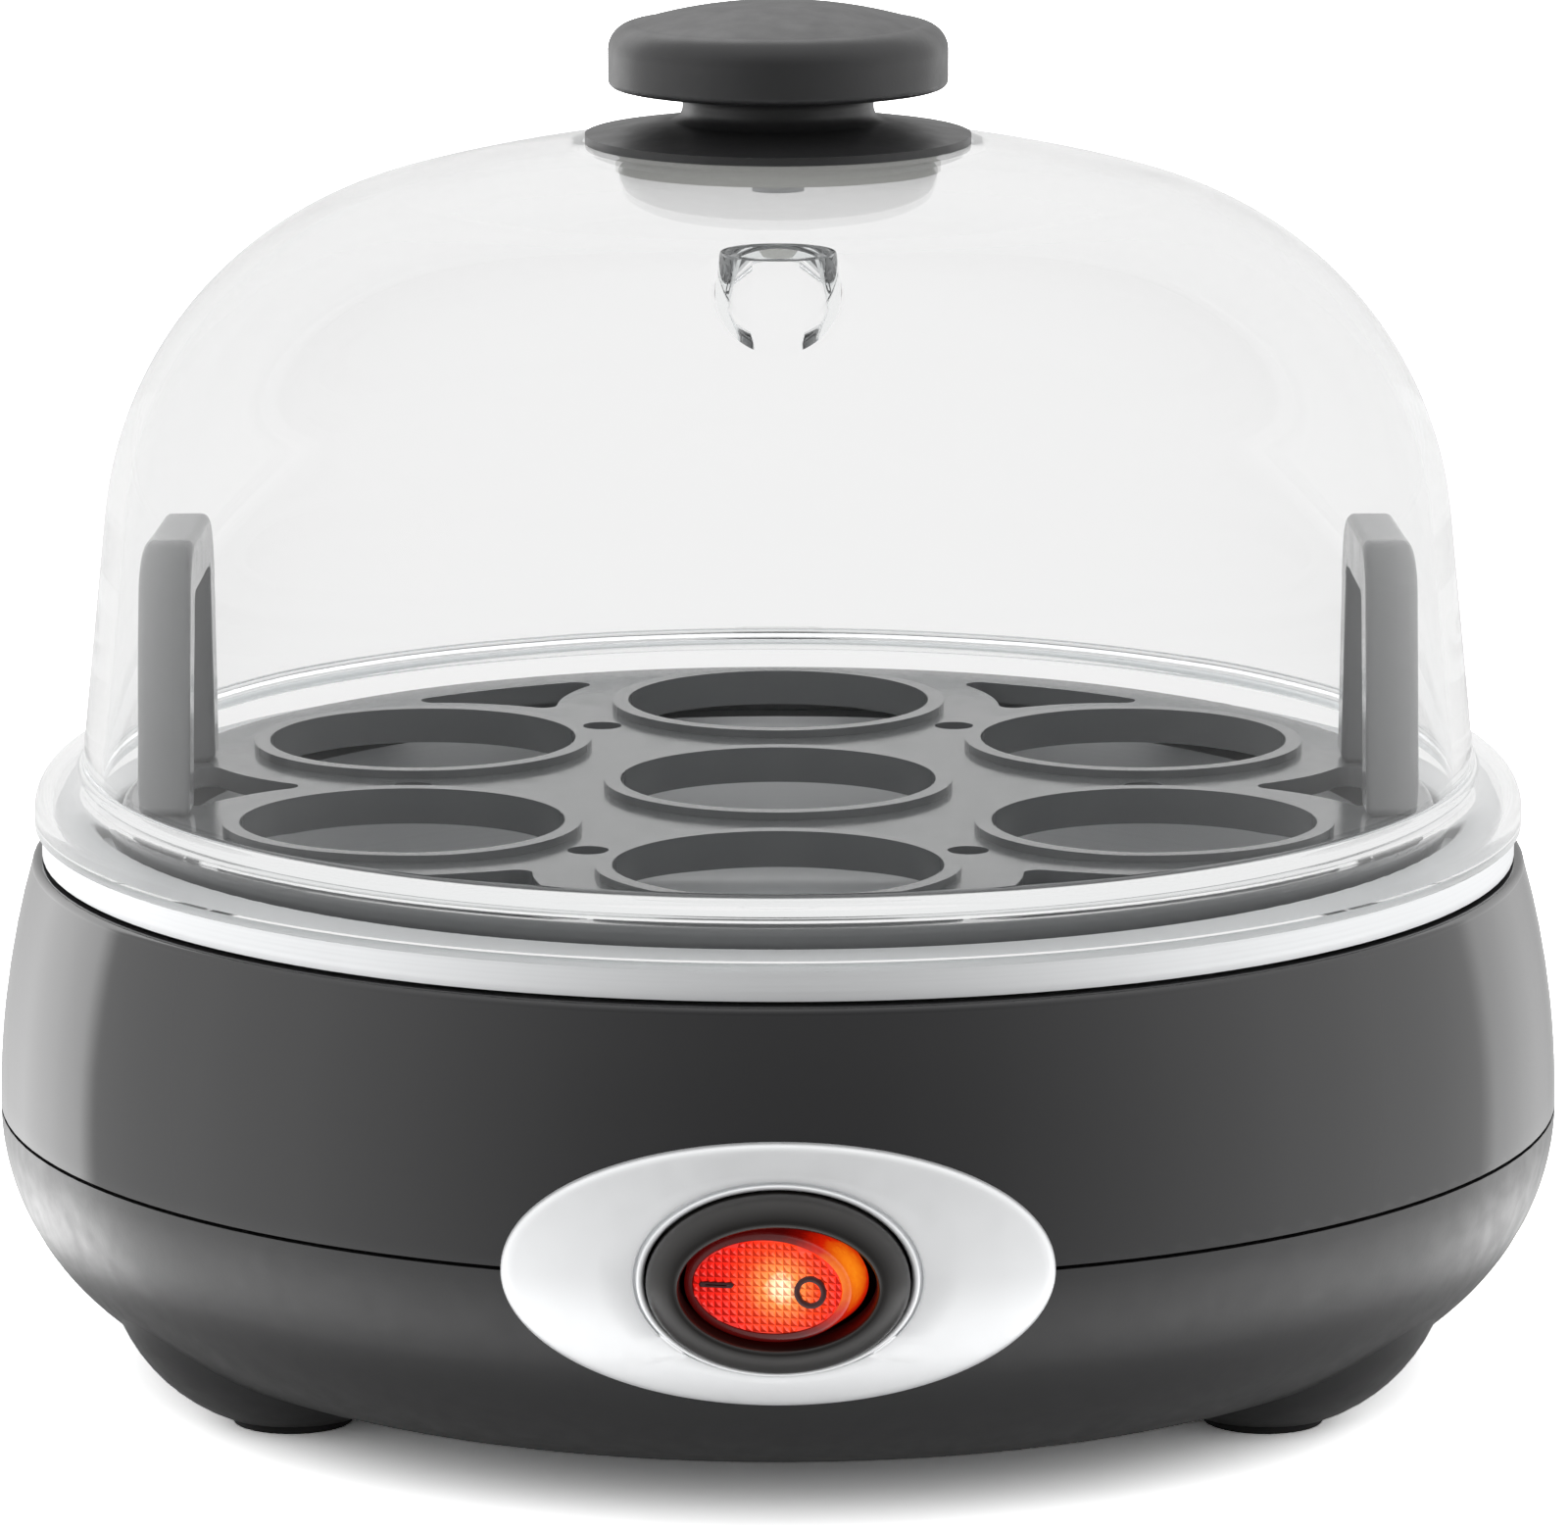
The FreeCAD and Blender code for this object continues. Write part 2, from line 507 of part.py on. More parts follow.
def lower_housing():
    rim = f"{PARTING} - seam_gap / 2"
    tongue = "(belly_radius - shell_wall - tongue_clear)"
    inner = f"({tongue} - tongue_wall)"
    hollow_round = "(lower_round - shell_wall)"
    bowl = turned("lower_bowl", [
        (0, "base_lift"),
        (FLAT_RADIUS, "base_lift", "left", "lower_round"),
        (f"{FLAT_RADIUS} + sqrt(lower_round^2 - (seam_gap / 2)^2)", rim),
        (tongue, rim),
        (tongue, f"{PARTING} + tongue_height"),
        (0, f"{PARTING} + tongue_height"),
    ])
    hollow = turned("lower_hollow", [
        (0, FLOOR_INSIDE),
        (FLAT_RADIUS, FLOOR_INSIDE, "left", hollow_round),
        (inner, f"{PARTING} - sqrt({hollow_round}^2 - ({inner} - {FLAT_RADIUS})^2)"),
        (inner, f"{PARTING} + 2 * tongue_height"),
        (0, f"{PARTING} + 2 * tongue_height"),
    ])
    feet = []
    cores = [hollow]
    for angle in FOOT_ANGLES:
        spot = polar(FLAT_RADIUS, angle)
        flat = cylinder("2 * foot_sphere", FOOT_CENTRE, (*spot, "pad_proud"))
        feet.append(common(ball("foot_sphere", (*spot, FOOT_CENTRE)), flat))
        core = cylinder("2 * foot_sphere", FOOT_CENTRE,
                        (*spot, "pad_proud + pad_sink + shell_wall"))
        cores.append(common(ball("foot_sphere - shell_wall", (*spot, FOOT_CENTRE)), core))
    outside = fuse(bowl, *feet)
    shell = cut(outside, *cores)
    bosses = []
    holes = [bezel_opening(), gland_opening()]
    for angle in BOSS_ANGLES:
        spot = polar(BOSS_CIRCLE, angle)
        bosses.append(cylinder("screw_head + shell_wall", f"{BOSS_JOINT} - base_lift",
                               (*spot, "base_lift")))
        holes.append(cylinder("screw_radius + 2 * fit_clear", "lower_round", (*spot, "0")))
        holes.append(cylinder("screw_head + 2 * fit_clear", f"{BOSS_JOINT} - screw_seat",
                              (*spot, "0")))
    for angle in FOOT_ANGLES:
        holes.append(cylinder("pad_radius + fit_clear", "pad_proud + pad_sink",
                              (*polar(FLAT_RADIUS, angle), "0")))
    for side in (-1, 1):
        spot = (f"{side} * clamp_post", CLAMP_ACROSS)
        bosses.append(cylinder("post_radius", f"{POST_TOP} - base_lift", (*spot, "base_lift")))
        holes.append(cylinder("screw_radius + fit_clear / 2", "screw_bite + pad_sink",
                              (*spot, POST_TOP), "-z"))
    bosses.append(block(
        ("-clamp_post", f"{CLAMP_ACROSS} - shell_wall / 2", "base_lift"),
        ("clamp_post", f"{CLAMP_ACROSS} + shell_wall / 2", CORD_UNDER)))
    holes.append(cylinder("screw_radius + fit_clear / 2", "screw_bite",
                          ("block_x", "block_y", f"{FLOOR_INSIDE} + block_height"), "-z"))
    block_boss = cylinder("post_radius", "block_height / 2 - fit_clear",
                          ("block_x", "block_y", FLOOR_INSIDE))
    solid = fuse(shell, common(fuse(*bosses), outside), block_boss)
    return piece("lower_housing", cut(solid, *holes))


def foot_pads():
    pads = [cylinder("pad_radius", "pad_proud + pad_sink", (*polar(FLAT_RADIUS, angle), "0"))
            for angle in FOOT_ANGLES]
    return piece("foot_pads", group(*pads))


def housing_screws():
    screws = [screw((*polar(BOSS_CIRCLE, angle), f"{BOSS_JOINT} - screw_seat"),
                    "screw_seat + screw_bite") for angle in BOSS_ANGLES]
    return piece("housing_screws", group(*screws))


def heating_pan():
    wall_foot = f"({DISH_RADIUS} - dish_lean)"
    under = f"({LEDGE} - sheet_wall)"
    pan = turned("pan_sheet", [
        (0, HEAT_FACE),
        (f"{wall_foot} - dish_round", HEAT_FACE, "left", "dish_round + sheet_wall"),
        (f"{wall_foot} + sheet_wall", f"{DISH_FLOOR} + dish_round"),
        (f"{DISH_RADIUS} + sheet_wall", under),
        (f"{STEP_RADIUS} + sheet_wall", under),
        (f"{STEP_RADIUS} + sheet_wall", f"{LID_SEAT} - sheet_wall"),
        (f"{PAN_RADIUS} - sheet_wall", f"{LID_SEAT} - sheet_wall"),
        (f"{PAN_RADIUS} - sheet_wall", f"{HOUSING_TOP} + hem_gap"),
        (PAN_RADIUS, f"{HOUSING_TOP} + hem_gap"),
        (PAN_RADIUS, f"{LID_SEAT} - sheet_wall", "left", "sheet_wall"),
        (f"{PAN_RADIUS} - sheet_wall", LID_SEAT),
        (f"{STEP_RADIUS} + sheet_wall", LID_SEAT, "left", "sheet_wall"),
        (STEP_RADIUS, f"{LID_SEAT} - sheet_wall"),
        (STEP_RADIUS, LEDGE),
        (DISH_RADIUS, LEDGE),
        (wall_foot, f"{DISH_FLOOR} + dish_round", "right", "dish_round"),
        (f"{wall_foot} - dish_round", DISH_FLOOR),
        (0, DISH_FLOOR),
    ])
    return piece("heating_pan", pan)


def pan_gasket():
    ring = cut(cylinder(STEP_RADIUS, "gasket_wall", (0, 0, HOUSING_TOP)),
               cylinder(SHELF_INNER, "gasket_wall", (0, 0, HOUSING_TOP)))
    holes = [cylinder("stud_radius + fit_clear", "gasket_wall", (*polar(STUD_CIRCLE, angle), HOUSING_TOP))
             for angle in STUD_ANGLES]
    return piece("pan_gasket", cut(ring, *holes))


def pan_studs():
    studs, washers, nuts = [], [], []
    for angle in STUD_ANGLES:
        spot = polar(STUD_CIRCLE, angle)
        bore = "stud_radius + fit_clear / 2"
        studs.append(cylinder("stud_radius", "stud_length", (*spot, f"{LEDGE} - sheet_wall"), "-z"))
        washer = cylinder("nut_flats * 0.6", "washer_wall", (*spot, SHELF), "-z")
        washers.append(cut(washer, cylinder(bore, "washer_wall", (*spot, SHELF), "-z")))
        seat = f"{SHELF} - washer_wall"
        hexagon = bind(doc.addObject("Part::Prism", "hexagon"), Circumradius="nut_flats / sqrt(3)",
                       Height="nut_height")
        place(hexagon, (*spot, seat), "-z")
        nuts.append(cut(hexagon, cylinder(bore, "nut_height", (*spot, seat), "-z")))
    piece("pan_studs", group(*studs))
    piece("stud_washers", group(*washers))
    piece("stud_nuts", group(*nuts))


def slot_tools():
    """Rounded three-sided steam slots between the outer seats and the edge of the tray."""
    reach = f"({TRAY_RADIUS} - slot_edge)"
    low = f"{TRAY_TOP} - 2 * tray_wall"
    ring = cut(cylinder(reach, "3 * tray_wall", (0, 0, low)),
               cylinder(SEAT_CIRCLE, "3 * tray_wall", (0, 0, low)))
    beside = f"{SEAT_CIRCLE} * slot_share"
    rounds = [cylinder(beside, "3 * tray_wall", (*polar(SEAT_CIRCLE, angle), low))
              for angle in SEAT_ANGLES]
    sharp = cut(ring, *rounds)
    doc.recompute()
    soft = doc.addObject("Part::Fillet", "slots")
    soft.Base = sharp
    radius = size("slot_round")
    upright = [index for index, edge in enumerate(sharp.Shape.Edges, start=1)
               if isinstance(edge.Curve, Part.Line) and abs(edge.tangentAt(edge.FirstParameter).z) > 0.99]
    soft.Edges = [(index, radius, radius) for index in upright]
    return soft


def tenon_block(side, leg, grow):
    """Tenon of a handle leg, or the slot for it where it grows by a clearance."""
    middle = f"{side} * ({HANDLE_ACROSS} + handle_wall / 2)"
    across = f"{leg} * (handle_foot - handle_leg / 2)"
    half = (f"(tenon_wall / 2 + {grow})", f"(tenon_width / 2 + {grow})")
    return block((f"{middle} - {half[0]}", f"{across} - {half[1]}", f"{TRAY_TOP} - tray_wall - {grow}"),
                 (f"{middle} + {half[0]}", f"{across} + {half[1]}", f"{TRAY_TOP} + {grow}"))


def egg_tray():
    under = f"{TRAY_TOP} - tray_wall"
    cap = turned("tray_cap", [
        (0, under),
        (f"{TRAY_RADIUS} - tray_skirt", under),
        (f"{TRAY_RADIUS} - tray_skirt", LEDGE),
        (TRAY_RADIUS, LEDGE),
        (TRAY_RADIUS, f"{TRAY_TOP} - tray_round", "left", "tray_round"),
        (f"{TRAY_RADIUS} - tray_round", TRAY_TOP),
        (0, TRAY_TOP),
    ])
    rims, holes = [], [slot_tools()]
    low = f"{under} - seat_drop"
    tall = "tray_wall + seat_drop + seat_rise"
    for spot in [("0", "0")] + [polar(SEAT_CIRCLE, angle) for angle in SEAT_ANGLES]:
        rims.append(cylinder("seat_radius + seat_rim", tall, (*spot, low)))
        holes.append(cylinder("seat_radius", f"2 * ({tall})", (*spot, f"{low} - seat_drop")))
    for angle in SLOT_ANGLES:
        spot = polar(f"{SEAT_CIRCLE} * cos(30)", angle)
        holes.append(cylinder("steam_hole", f"2 * ({tall})", (*spot, f"{low} - seat_drop")))
    for side in (-1, 1):
        for leg in (-1, 1):
            holes.append(tenon_block(side, leg, "fit_clear"))
    return piece("egg_tray", cut(fuse(cap, *rims), *holes))


def tray_handle(label, side):
    """Upright loop across the edge of the tray, with its two tenons."""
    top = f"({TRAY_TOP} + handle_height)"
    slant = "((handle_foot - handle_top) / handle_height)"
    inner_foot = "(handle_foot - handle_leg)"
    inner_top = f"({top} - handle_leg)"
    inner_half = f"({inner_foot} - {slant} * (handle_height - handle_leg))"
    drop = f"({top} - handle_corner)"
    side_half = f"(handle_top + {slant} * handle_corner)"
    corner = f"(handle_corner * (1 + {slant}))"
    loop = padded(label + "_loop", "YZ_Plane", [
        (f"-{inner_foot}", TRAY_TOP),
        (f"-{inner_half}", inner_top),
        (inner_half, inner_top),
        (inner_foot, TRAY_TOP),
        ("handle_foot", TRAY_TOP),
        (side_half, drop, "left", corner),
        ("handle_top - handle_corner", top),
        ("-(handle_top - handle_corner)", top, "left", corner),
        (f"-{side_half}", drop),
        ("-handle_foot", TRAY_TOP),
    ], "handle_wall")
    rounded(loop, "handle_edge")
    place(loop, (f"{side} * ({HANDLE_ACROSS} + handle_wall / 2)", "0", "0"))
    tenons = [tenon_block(side, leg, "0") for leg in (-1, 1)]
    roots = [block((f"{side} * ({HANDLE_ACROSS} + handle_wall / 2) - tenon_wall / 2",
                    f"{leg} * (handle_foot - handle_leg / 2) - tenon_width / 2", TRAY_TOP),
                   (f"{side} * ({HANDLE_ACROSS} + handle_wall / 2) + tenon_wall / 2",
                    f"{leg} * (handle_foot - handle_leg / 2) + tenon_width / 2",
                    f"{TRAY_TOP} + 2 * handle_edge")) for leg in (-1, 1)]
    return piece(label, fuse(loop, *tenons, *roots))


def dome_solid(name, inset, foot):
    """Solid of the lid's shape, moved inwards by an inset, from a given level up."""
    inset_across = f"{inset} * dome_wall_height / {WALL_RUN}"
    inset_up = f"{inset} * dome_lean / {WALL_RUN}"
    round_radius = f"(dome_round - {inset})"
    crown = f"(crown_radius - {inset})"
    share = f"({crown} / (crown_radius - dome_round))"
    wall_top = (f"{DOME_RADIUS} - dome_lean - {inset_across}",
                f"{DOME_FOOT} + dome_wall_height - {inset_up}")
    return turned(name, [
        (0, foot),
        (f"{LID_RADIUS} - {inset}", foot),
        (f"{LID_RADIUS} - {inset}", f"{LID_SEAT} + lid_band", "left", f"shoulder_round - {inset}"),
        (f"{LID_RADIUS} - shoulder_round", f"{DOME_FOOT} - {inset}"),
        (f"{DOME_RADIUS} - {inset}", f"{DOME_FOOT} - {inset}"),
        (*wall_top, "left", round_radius),
        (f"{ROUND_ACROSS} * {share}", f"{CROWN_UP} + ({ROUND_UP} - {CROWN_UP}) * {share}", "left", crown),
        (f"knob_seat - {inset}", f"{CROWN_UP} + sqrt({crown}^2 - (knob_seat - {inset})^2)"),
        (0, f"{CROWN_UP} + sqrt({crown}^2 - (knob_seat - {inset})^2)"),
    ])


def lid_dome():
    outside = dome_solid("lid_outside", "0", f"{LID_SEAT} - lip_drop")
    inside = dome_solid("lid_inside", "lid_wall", f"{LID_SEAT} - 2 * lip_drop")
    rebate = cylinder(f"{PAN_RADIUS} + lip_clear", "2 * lip_drop", (0, 0, LID_SEAT), "-z")
    spout_top = f"({LID_TOP} - spout_drop)"
    spout = cone("spout_radius", "spout_radius + spout_flare", "spout_length",
                 (0, "-spout_circle", spout_top), "-z")
    bore = cylinder("spout_bore", "3 * spout_length",
                    (0, "-spout_circle", f"{LID_TOP} + spout_length"), "-z")
    screw_hole = cylinder("screw_radius + fit_clear", "4 * lid_wall",
                          (0, 0, f"{LID_TOP} - 2 * lid_wall"))
    return piece("lid_dome", cut(fuse(outside, spout), inside, rebate, bore, screw_hole))


def lid_knob():
    """Mushroom knob, drawn from its seat up and then set on the flat of the lid."""
    grip_edge = "(knob_cap - knob_fillet / 2)"
    side_top = "(knob_grip + knob_side)"
    crown_edge = "(knob_cap - knob_shoulder)"
    crown_rise = f"(knob_height - {side_top} - knob_shoulder)"
    knob = turned("knob_turning", [
        (0, 0),
        ("knob_flange", 0),
        ("knob_flange", "knob_flange_edge"),
        ("knob_neck + knob_fillet", "knob_flange_rise", "right", "knob_fillet"),
        ("knob_neck", "knob_flange_rise + knob_fillet"),
        ("knob_neck", "knob_grip - knob_fillet", "right", "knob_fillet"),
        ("knob_neck + knob_fillet", "knob_grip"),
        (grip_edge, "knob_grip", "left", "knob_fillet / 2"),
        ("knob_cap", "knob_grip + knob_fillet / 2"),
        ("knob_cap", side_top, "left", "knob_shoulder"),
        (crown_edge, f"{side_top} + knob_shoulder", "left",
         f"({crown_edge}^2 + {crown_rise}^2) / (2 * {crown_rise})"),
        (0, "knob_height"),
    ])
    place(knob, (0, 0, LID_TOP))
    hole = cylinder("screw_radius + fit_clear / 2", "knob_screw_length + pad_sink",
                    (0, 0, LID_TOP))
    return piece("lid_knob", cut(knob, hole))


def knob_fixing():
    flat = (f"({CROWN_UP} + sqrt((crown_radius - lid_wall)^2"
            f" - (knob_seat - lid_wall)^2))")
    washer = cut(cylinder("backing_radius", "backing_wall", (0, 0, flat), "-z"),
                 cylinder("screw_radius + fit_clear", "backing_wall", (0, 0, flat), "-z"))
    piece("knob_washer", washer)
    seat = f"({flat} - backing_wall)"
    piece("knob_screw", screw((0, 0, seat), f"{LID_TOP} - {seat} + knob_screw_length"))


def switch_bezel():
    """Oval trim over the joint of the housings, with a neck through it and ears behind the wall."""
    neck_width = "(bezel_width - bezel_lap)"
    neck_height = "(bezel_height - bezel_lap)"
    face = housing_skin("bezel_face", "bezel_proud")
    back = housing_skin("bezel_back", "fit_clear")
    ahead = "belly_radius + lower_round"
    trim = cut(common(face, oval("bezel_width", "bezel_height", ahead, FLAT_RADIUS)), back)
    core = common(face, oval(neck_width, neck_height, ahead, "belly_radius - bezel_depth"))
    ears = oval(f"{neck_width} + bezel_ear", f"{neck_height} * 0.6",
                "belly_radius - bezel_depth + 0.001", "belly_radius - bezel_depth - case_wall")
    pocket = oval("frame_width + fit_clear", "frame_height + fit_clear", ahead, SWITCH_SEAT)
    grow = "2 * fit_clear"
    hole = block((f"-(case_width + {grow})", f"-({ahead})", f"{PARTING} - case_height - {grow}"),
                 (f"case_width + {grow}", f"-{FLAT_RADIUS}", f"{PARTING} + case_height + {grow}"))
    return piece("switch_bezel", cut(fuse(trim, core, ears), pocket, hole))


def switch_frame():
    """Black oval flange and the case behind it, with bearings for the rocker and slots for the blades."""
    front = f"({SWITCH_SEAT} + frame_wall)"
    flange = oval("frame_width", "frame_height", front, SWITCH_SEAT)
    doc.recompute()
    softened = doc.addObject("Part::Fillet", "frame_flange")
    softened.Base = flange
    radius = size("frame_bevel")
    front_edge = min(range(len(flange.Shape.Edges)), key=lambda i: flange.Shape.Edges[i].CenterOfMass.y
                     if flange.Shape.Edges[i].isClosed() else 0)
    softened.Edges = [(front_edge + 1, radius, radius)]
    case = block(("-case_width", f"-{SWITCH_SEAT}", f"{PARTING} - case_height"),
                 ("case_width", f"-{CASE_BACK}", f"{PARTING} + case_height"))
    inside_width = "(case_width - case_wall)"
    inside_height = "(case_height - case_wall)"
    mouth = oval(f"{inside_width} + fit_clear", f"{inside_height} + fit_clear",
                 f"{front} + frame_wall", f"{SWITCH_SEAT} - fit_clear")
    inside = block((f"-{inside_width}", f"-{SWITCH_SEAT}", f"{PARTING} - {inside_height}"),
                   (inside_width, f"-({CASE_BACK} + case_wall)", f"{PARTING} + {inside_height}"))
    bearing = cylinder("pivot_radius + pivot_clear", "2 * case_height",
                       (0, f"-{PIVOT}", f"{PARTING} - case_height"))
    slots = []
    for side in (-1, 0, 1):
        middle = f"{side} * blade_pitch"
        slots.append(block(
            (f"{middle} - blade_wall / 2 - pivot_clear", f"-({CASE_BACK} + 2 * case_wall)",
             f"{PARTING} - blade_width / 2 - pivot_clear"),
            (f"{middle} + blade_wall / 2 + pivot_clear", f"-({CASE_BACK} - case_wall)",
             f"{PARTING} + blade_width / 2 + pivot_clear")))
    return piece("switch_frame", cut(fuse(softened, case), mouth, inside, bearing, *slots))


def rocker_section(half_width, half_height, reach):
    """Oval section of the rocker at a reach in front of its pivot."""
    edge = doc.addObject("Part::Ellipse", "rocker_oval")
    bind(edge, MajorRadius=half_width, MinorRadius=half_height)
    return place(edge, (0, f"-({reach})", 0), "-y")


def tilt(thing, angle, at):
    """Turns an object drawn about the Z axis by an angle, and sets it in place."""
    place(thing, at)
    thing.setExpression("Placement.Rotation.Angle", linked(angle))
    return thing


def rocker():
    """Rocker drawn about its own pivot, then tilted so that its left end is pressed in."""
    key = doc.addObject("Part::Loft", "rocker_key")
    key.Sections = [
        rocker_section("rocker_width - rocker_draft / 2", "rocker_height - rocker_draft / 4",
                       "-stem_radius * 1.4"),
        rocker_section("rocker_width", "rocker_height", "rocker_draft / 4"),
        rocker_section("rocker_width - rocker_draft", "rocker_height - rocker_draft / 2",
                       "rocker_reach + rocker_draft / 2"),
    ]
    key.Solid = True
    key.Ruled = True
    span = "(2 * rocker_width)"
    lift = "(rocker_crease + rocker_rise * 2)"
    vee = padded("rocker_vee", "XY_Plane", [
        (0, "-rocker_crease"),
        (f"-{span}", f"-{lift}"),
        (f"-{span}", f"-2 * {lift}"),
        (span, f"-2 * {lift}"),
        (span, f"-{lift}"),
    ], "4 * rocker_height")
    stem = cylinder("stem_radius", "stem_reach", (0, 0, 0), "y")
    socket = cylinder("plunger_radius + pivot_clear", "stem_reach", (0, "stem_reach / 2", 0), "y")
    trunnions = cylinder("pivot_radius", "2 * (case_height - fit_clear)",
                         (0, 0, "-(case_height - fit_clear)"))
    whole = cut(fuse(cut(key, vee), stem, trunnions), socket)
    tilt(whole, "-rocker_tilt", (0, f"-{PIVOT}", PARTING))
    piece("rocker", whole)
    tip = "(plunger_reach - plunger_radius)"
    plunger = fuse(cylinder("plunger_radius", f"{tip} - stem_reach / 2 - fit_clear",
                            (0, "stem_reach / 2 + fit_clear", 0), "y"),
                   ball("plunger_radius", (0, tip, 0)))
    tilt(plunger, "-rocker_tilt", (0, f"-{PIVOT}", PARTING))
    piece("rocker_plunger", plunger)


def contact_lever():
    """Rocking contact that the plunger tips onto the right-hand blade."""
    half = "(blade_width / 2 - pivot_clear)"
    sheet = block(("-lever_half", "-(lever_lift + lever_wall)", f"-{half}"),
                  ("lever_half", "-lever_lift", half))
    rib = block(("-blade_wall", "-lever_lift", f"-{half}"), ("blade_wall", "0", half))
    knuckle = cylinder("lever_knuckle", f"2 * {half}", (0, 0, f"-{half}"))
    lever = fuse(sheet, rib, knuckle)
    tilt(lever, "lever_tilt", (0, f"-{LEVER_PIVOT}", PARTING))
    return piece("contact_lever", lever)


def blade_at(middle, front, back):
    """Flat upright blade along Y, from Y = -front to Y = -back."""
    return block((f"{middle} - blade_wall / 2", f"-({front})", f"{PARTING} - blade_width / 2"),
                 (f"{middle} + blade_wall / 2", f"-({back})", f"{PARTING} + blade_width / 2"))


def switch_blades():
    back = f"{CASE_BACK} - blade_reach"
    tip = f"{LEVER_PIVOT} - blade_pitch * sin(lever_tilt) + lever_lift - 2 * contact_gap"
    piece("switch_blades", group(
        blade_at("-blade_pitch", f"{CASE_BACK} + 2 * case_wall", back),
        blade_at("0", f"{LEVER_PIVOT} - contact_gap", back),
        blade_at("blade_pitch", tip, back)))
    lamp_start = ("-lamp_length / 2", f"-({LEVER_PIVOT} + 1.5 * lamp_radius)",
                  f"{PARTING} + case_height - case_wall - lamp_radius - fit_clear")
    piece("pilot_lamp", cylinder("lamp_radius", "lamp_length", lamp_start, "x"))


def connector(low, high, slot_low, slot_high):
    """Sleeve of a spade connector: a box with a slot for its blade."""
    return cut(block(low, high), block(slot_low, slot_high))


def switch_spades():
    start = f"{CASE_BACK} - 1.5 * case_wall"
    stop = f"({start} - sleeve_length)"
    half_thick = "(blade_wall / 2 + sleeve_wall)"
    half_wide = "(blade_width / 2 + sleeve_wall)"
    sleeves = []
    for side in (-1, 0, 1):
        middle = f"{side} * blade_pitch"
        sleeves.append(connector(
            (f"{middle} - {half_thick}", f"-({start})", f"{PARTING} - {half_wide}"),
            (f"{middle} + {half_thick}", f"-{stop}", f"{PARTING} + {half_wide}"),
            (f"{middle} - blade_wall / 2 - pivot_clear", f"-({start})",
             f"{PARTING} - blade_width / 2 - pivot_clear"),
            (f"{middle} + blade_wall / 2 + pivot_clear", f"-({CASE_BACK} - blade_reach - pivot_clear)",
             f"{PARTING} + blade_width / 2 + pivot_clear")))
    return piece("switch_spades", group(*sleeves))


def cord_gland():
    """Bush held in the joint of the housings, with a bore for the cord."""
    inner = "(belly_radius - gland_inner)"
    outer = "(belly_radius + fit_clear)"
    slope = "(rocker_rise * rocker_draft / rocker_width / (rocker_reach + rocker_draft / 4))"
    end_up = (f"((rocker_crease + rocker_rise + {slope} * rocker_draft / 4)"
              f" / (1 + {slope}))")
    end_out = f"(({end_up} - rocker_crease) * rocker_width / rocker_rise)"
    reach = f"({PIVOT} + {end_up} * cos(rocker_tilt) + {end_out} * sin(rocker_tilt))"
    neck_start = (0, f"{inner} - gland_lip / 2", PARTING)
    bush = fuse(
        cylinder("gland_radius", f"{outer} - {inner} + gland_lip", neck_start, "y"),
        cylinder("gland_flange", "gland_lip", (0, outer, PARTING), "y"),
        cylinder("gland_flange", "gland_lip", (0, inner, PARTING), "-y"),
        cylinder("gland_collar", f"{reach} - {outer}", (0, outer, PARTING), "y"))
    bore = cylinder("gland_bore", "lower_round", (0, f"{inner} - 2 * gland_lip", PARTING), "y")
    return piece("cord_gland", cut(bush, bore))


def cord_clamp():
    """Arched bar that holds the cord down on the wall between the clamp posts."""
    reach = "(clamp_post + post_radius)"
    bar = block((f"-{reach}", f"{CLAMP_ACROSS} - post_radius", POST_TOP),
                (reach, f"{CLAMP_ACROSS} + post_radius", f"{POST_TOP} + clamp_wall"))
    arch = cylinder("gland_bore + clamp_wall", "2 * post_radius",
                    (0, f"{CLAMP_ACROSS} - post_radius", PARTING), "y")
    below = block((f"-{reach}", f"{CLAMP_ACROSS} - 2 * post_radius", f"{POST_TOP} - 4 * clamp_wall"),
                  (reach, f"{CLAMP_ACROSS} + 2 * post_radius", POST_TOP))
    bore = cylinder("gland_bore", "4 * post_radius",
                    (0, f"{CLAMP_ACROSS} - 2 * post_radius", PARTING), "y")
    holes, screws = [], []
    for side in (-1, 1):
        spot = (f"{side} * clamp_post", CLAMP_ACROSS)
        holes.append(cylinder("screw_radius + fit_clear", "clamp_wall", (*spot, POST_TOP)))
        screws.append(screw((*spot, f"{POST_TOP} + clamp_wall"), "clamp_wall + screw_bite", "-z"))
    piece("cord_clamp", cut(fuse(bar, arch), below, bore, *holes))
    piece("cord_clamp_screws", group(*screws))


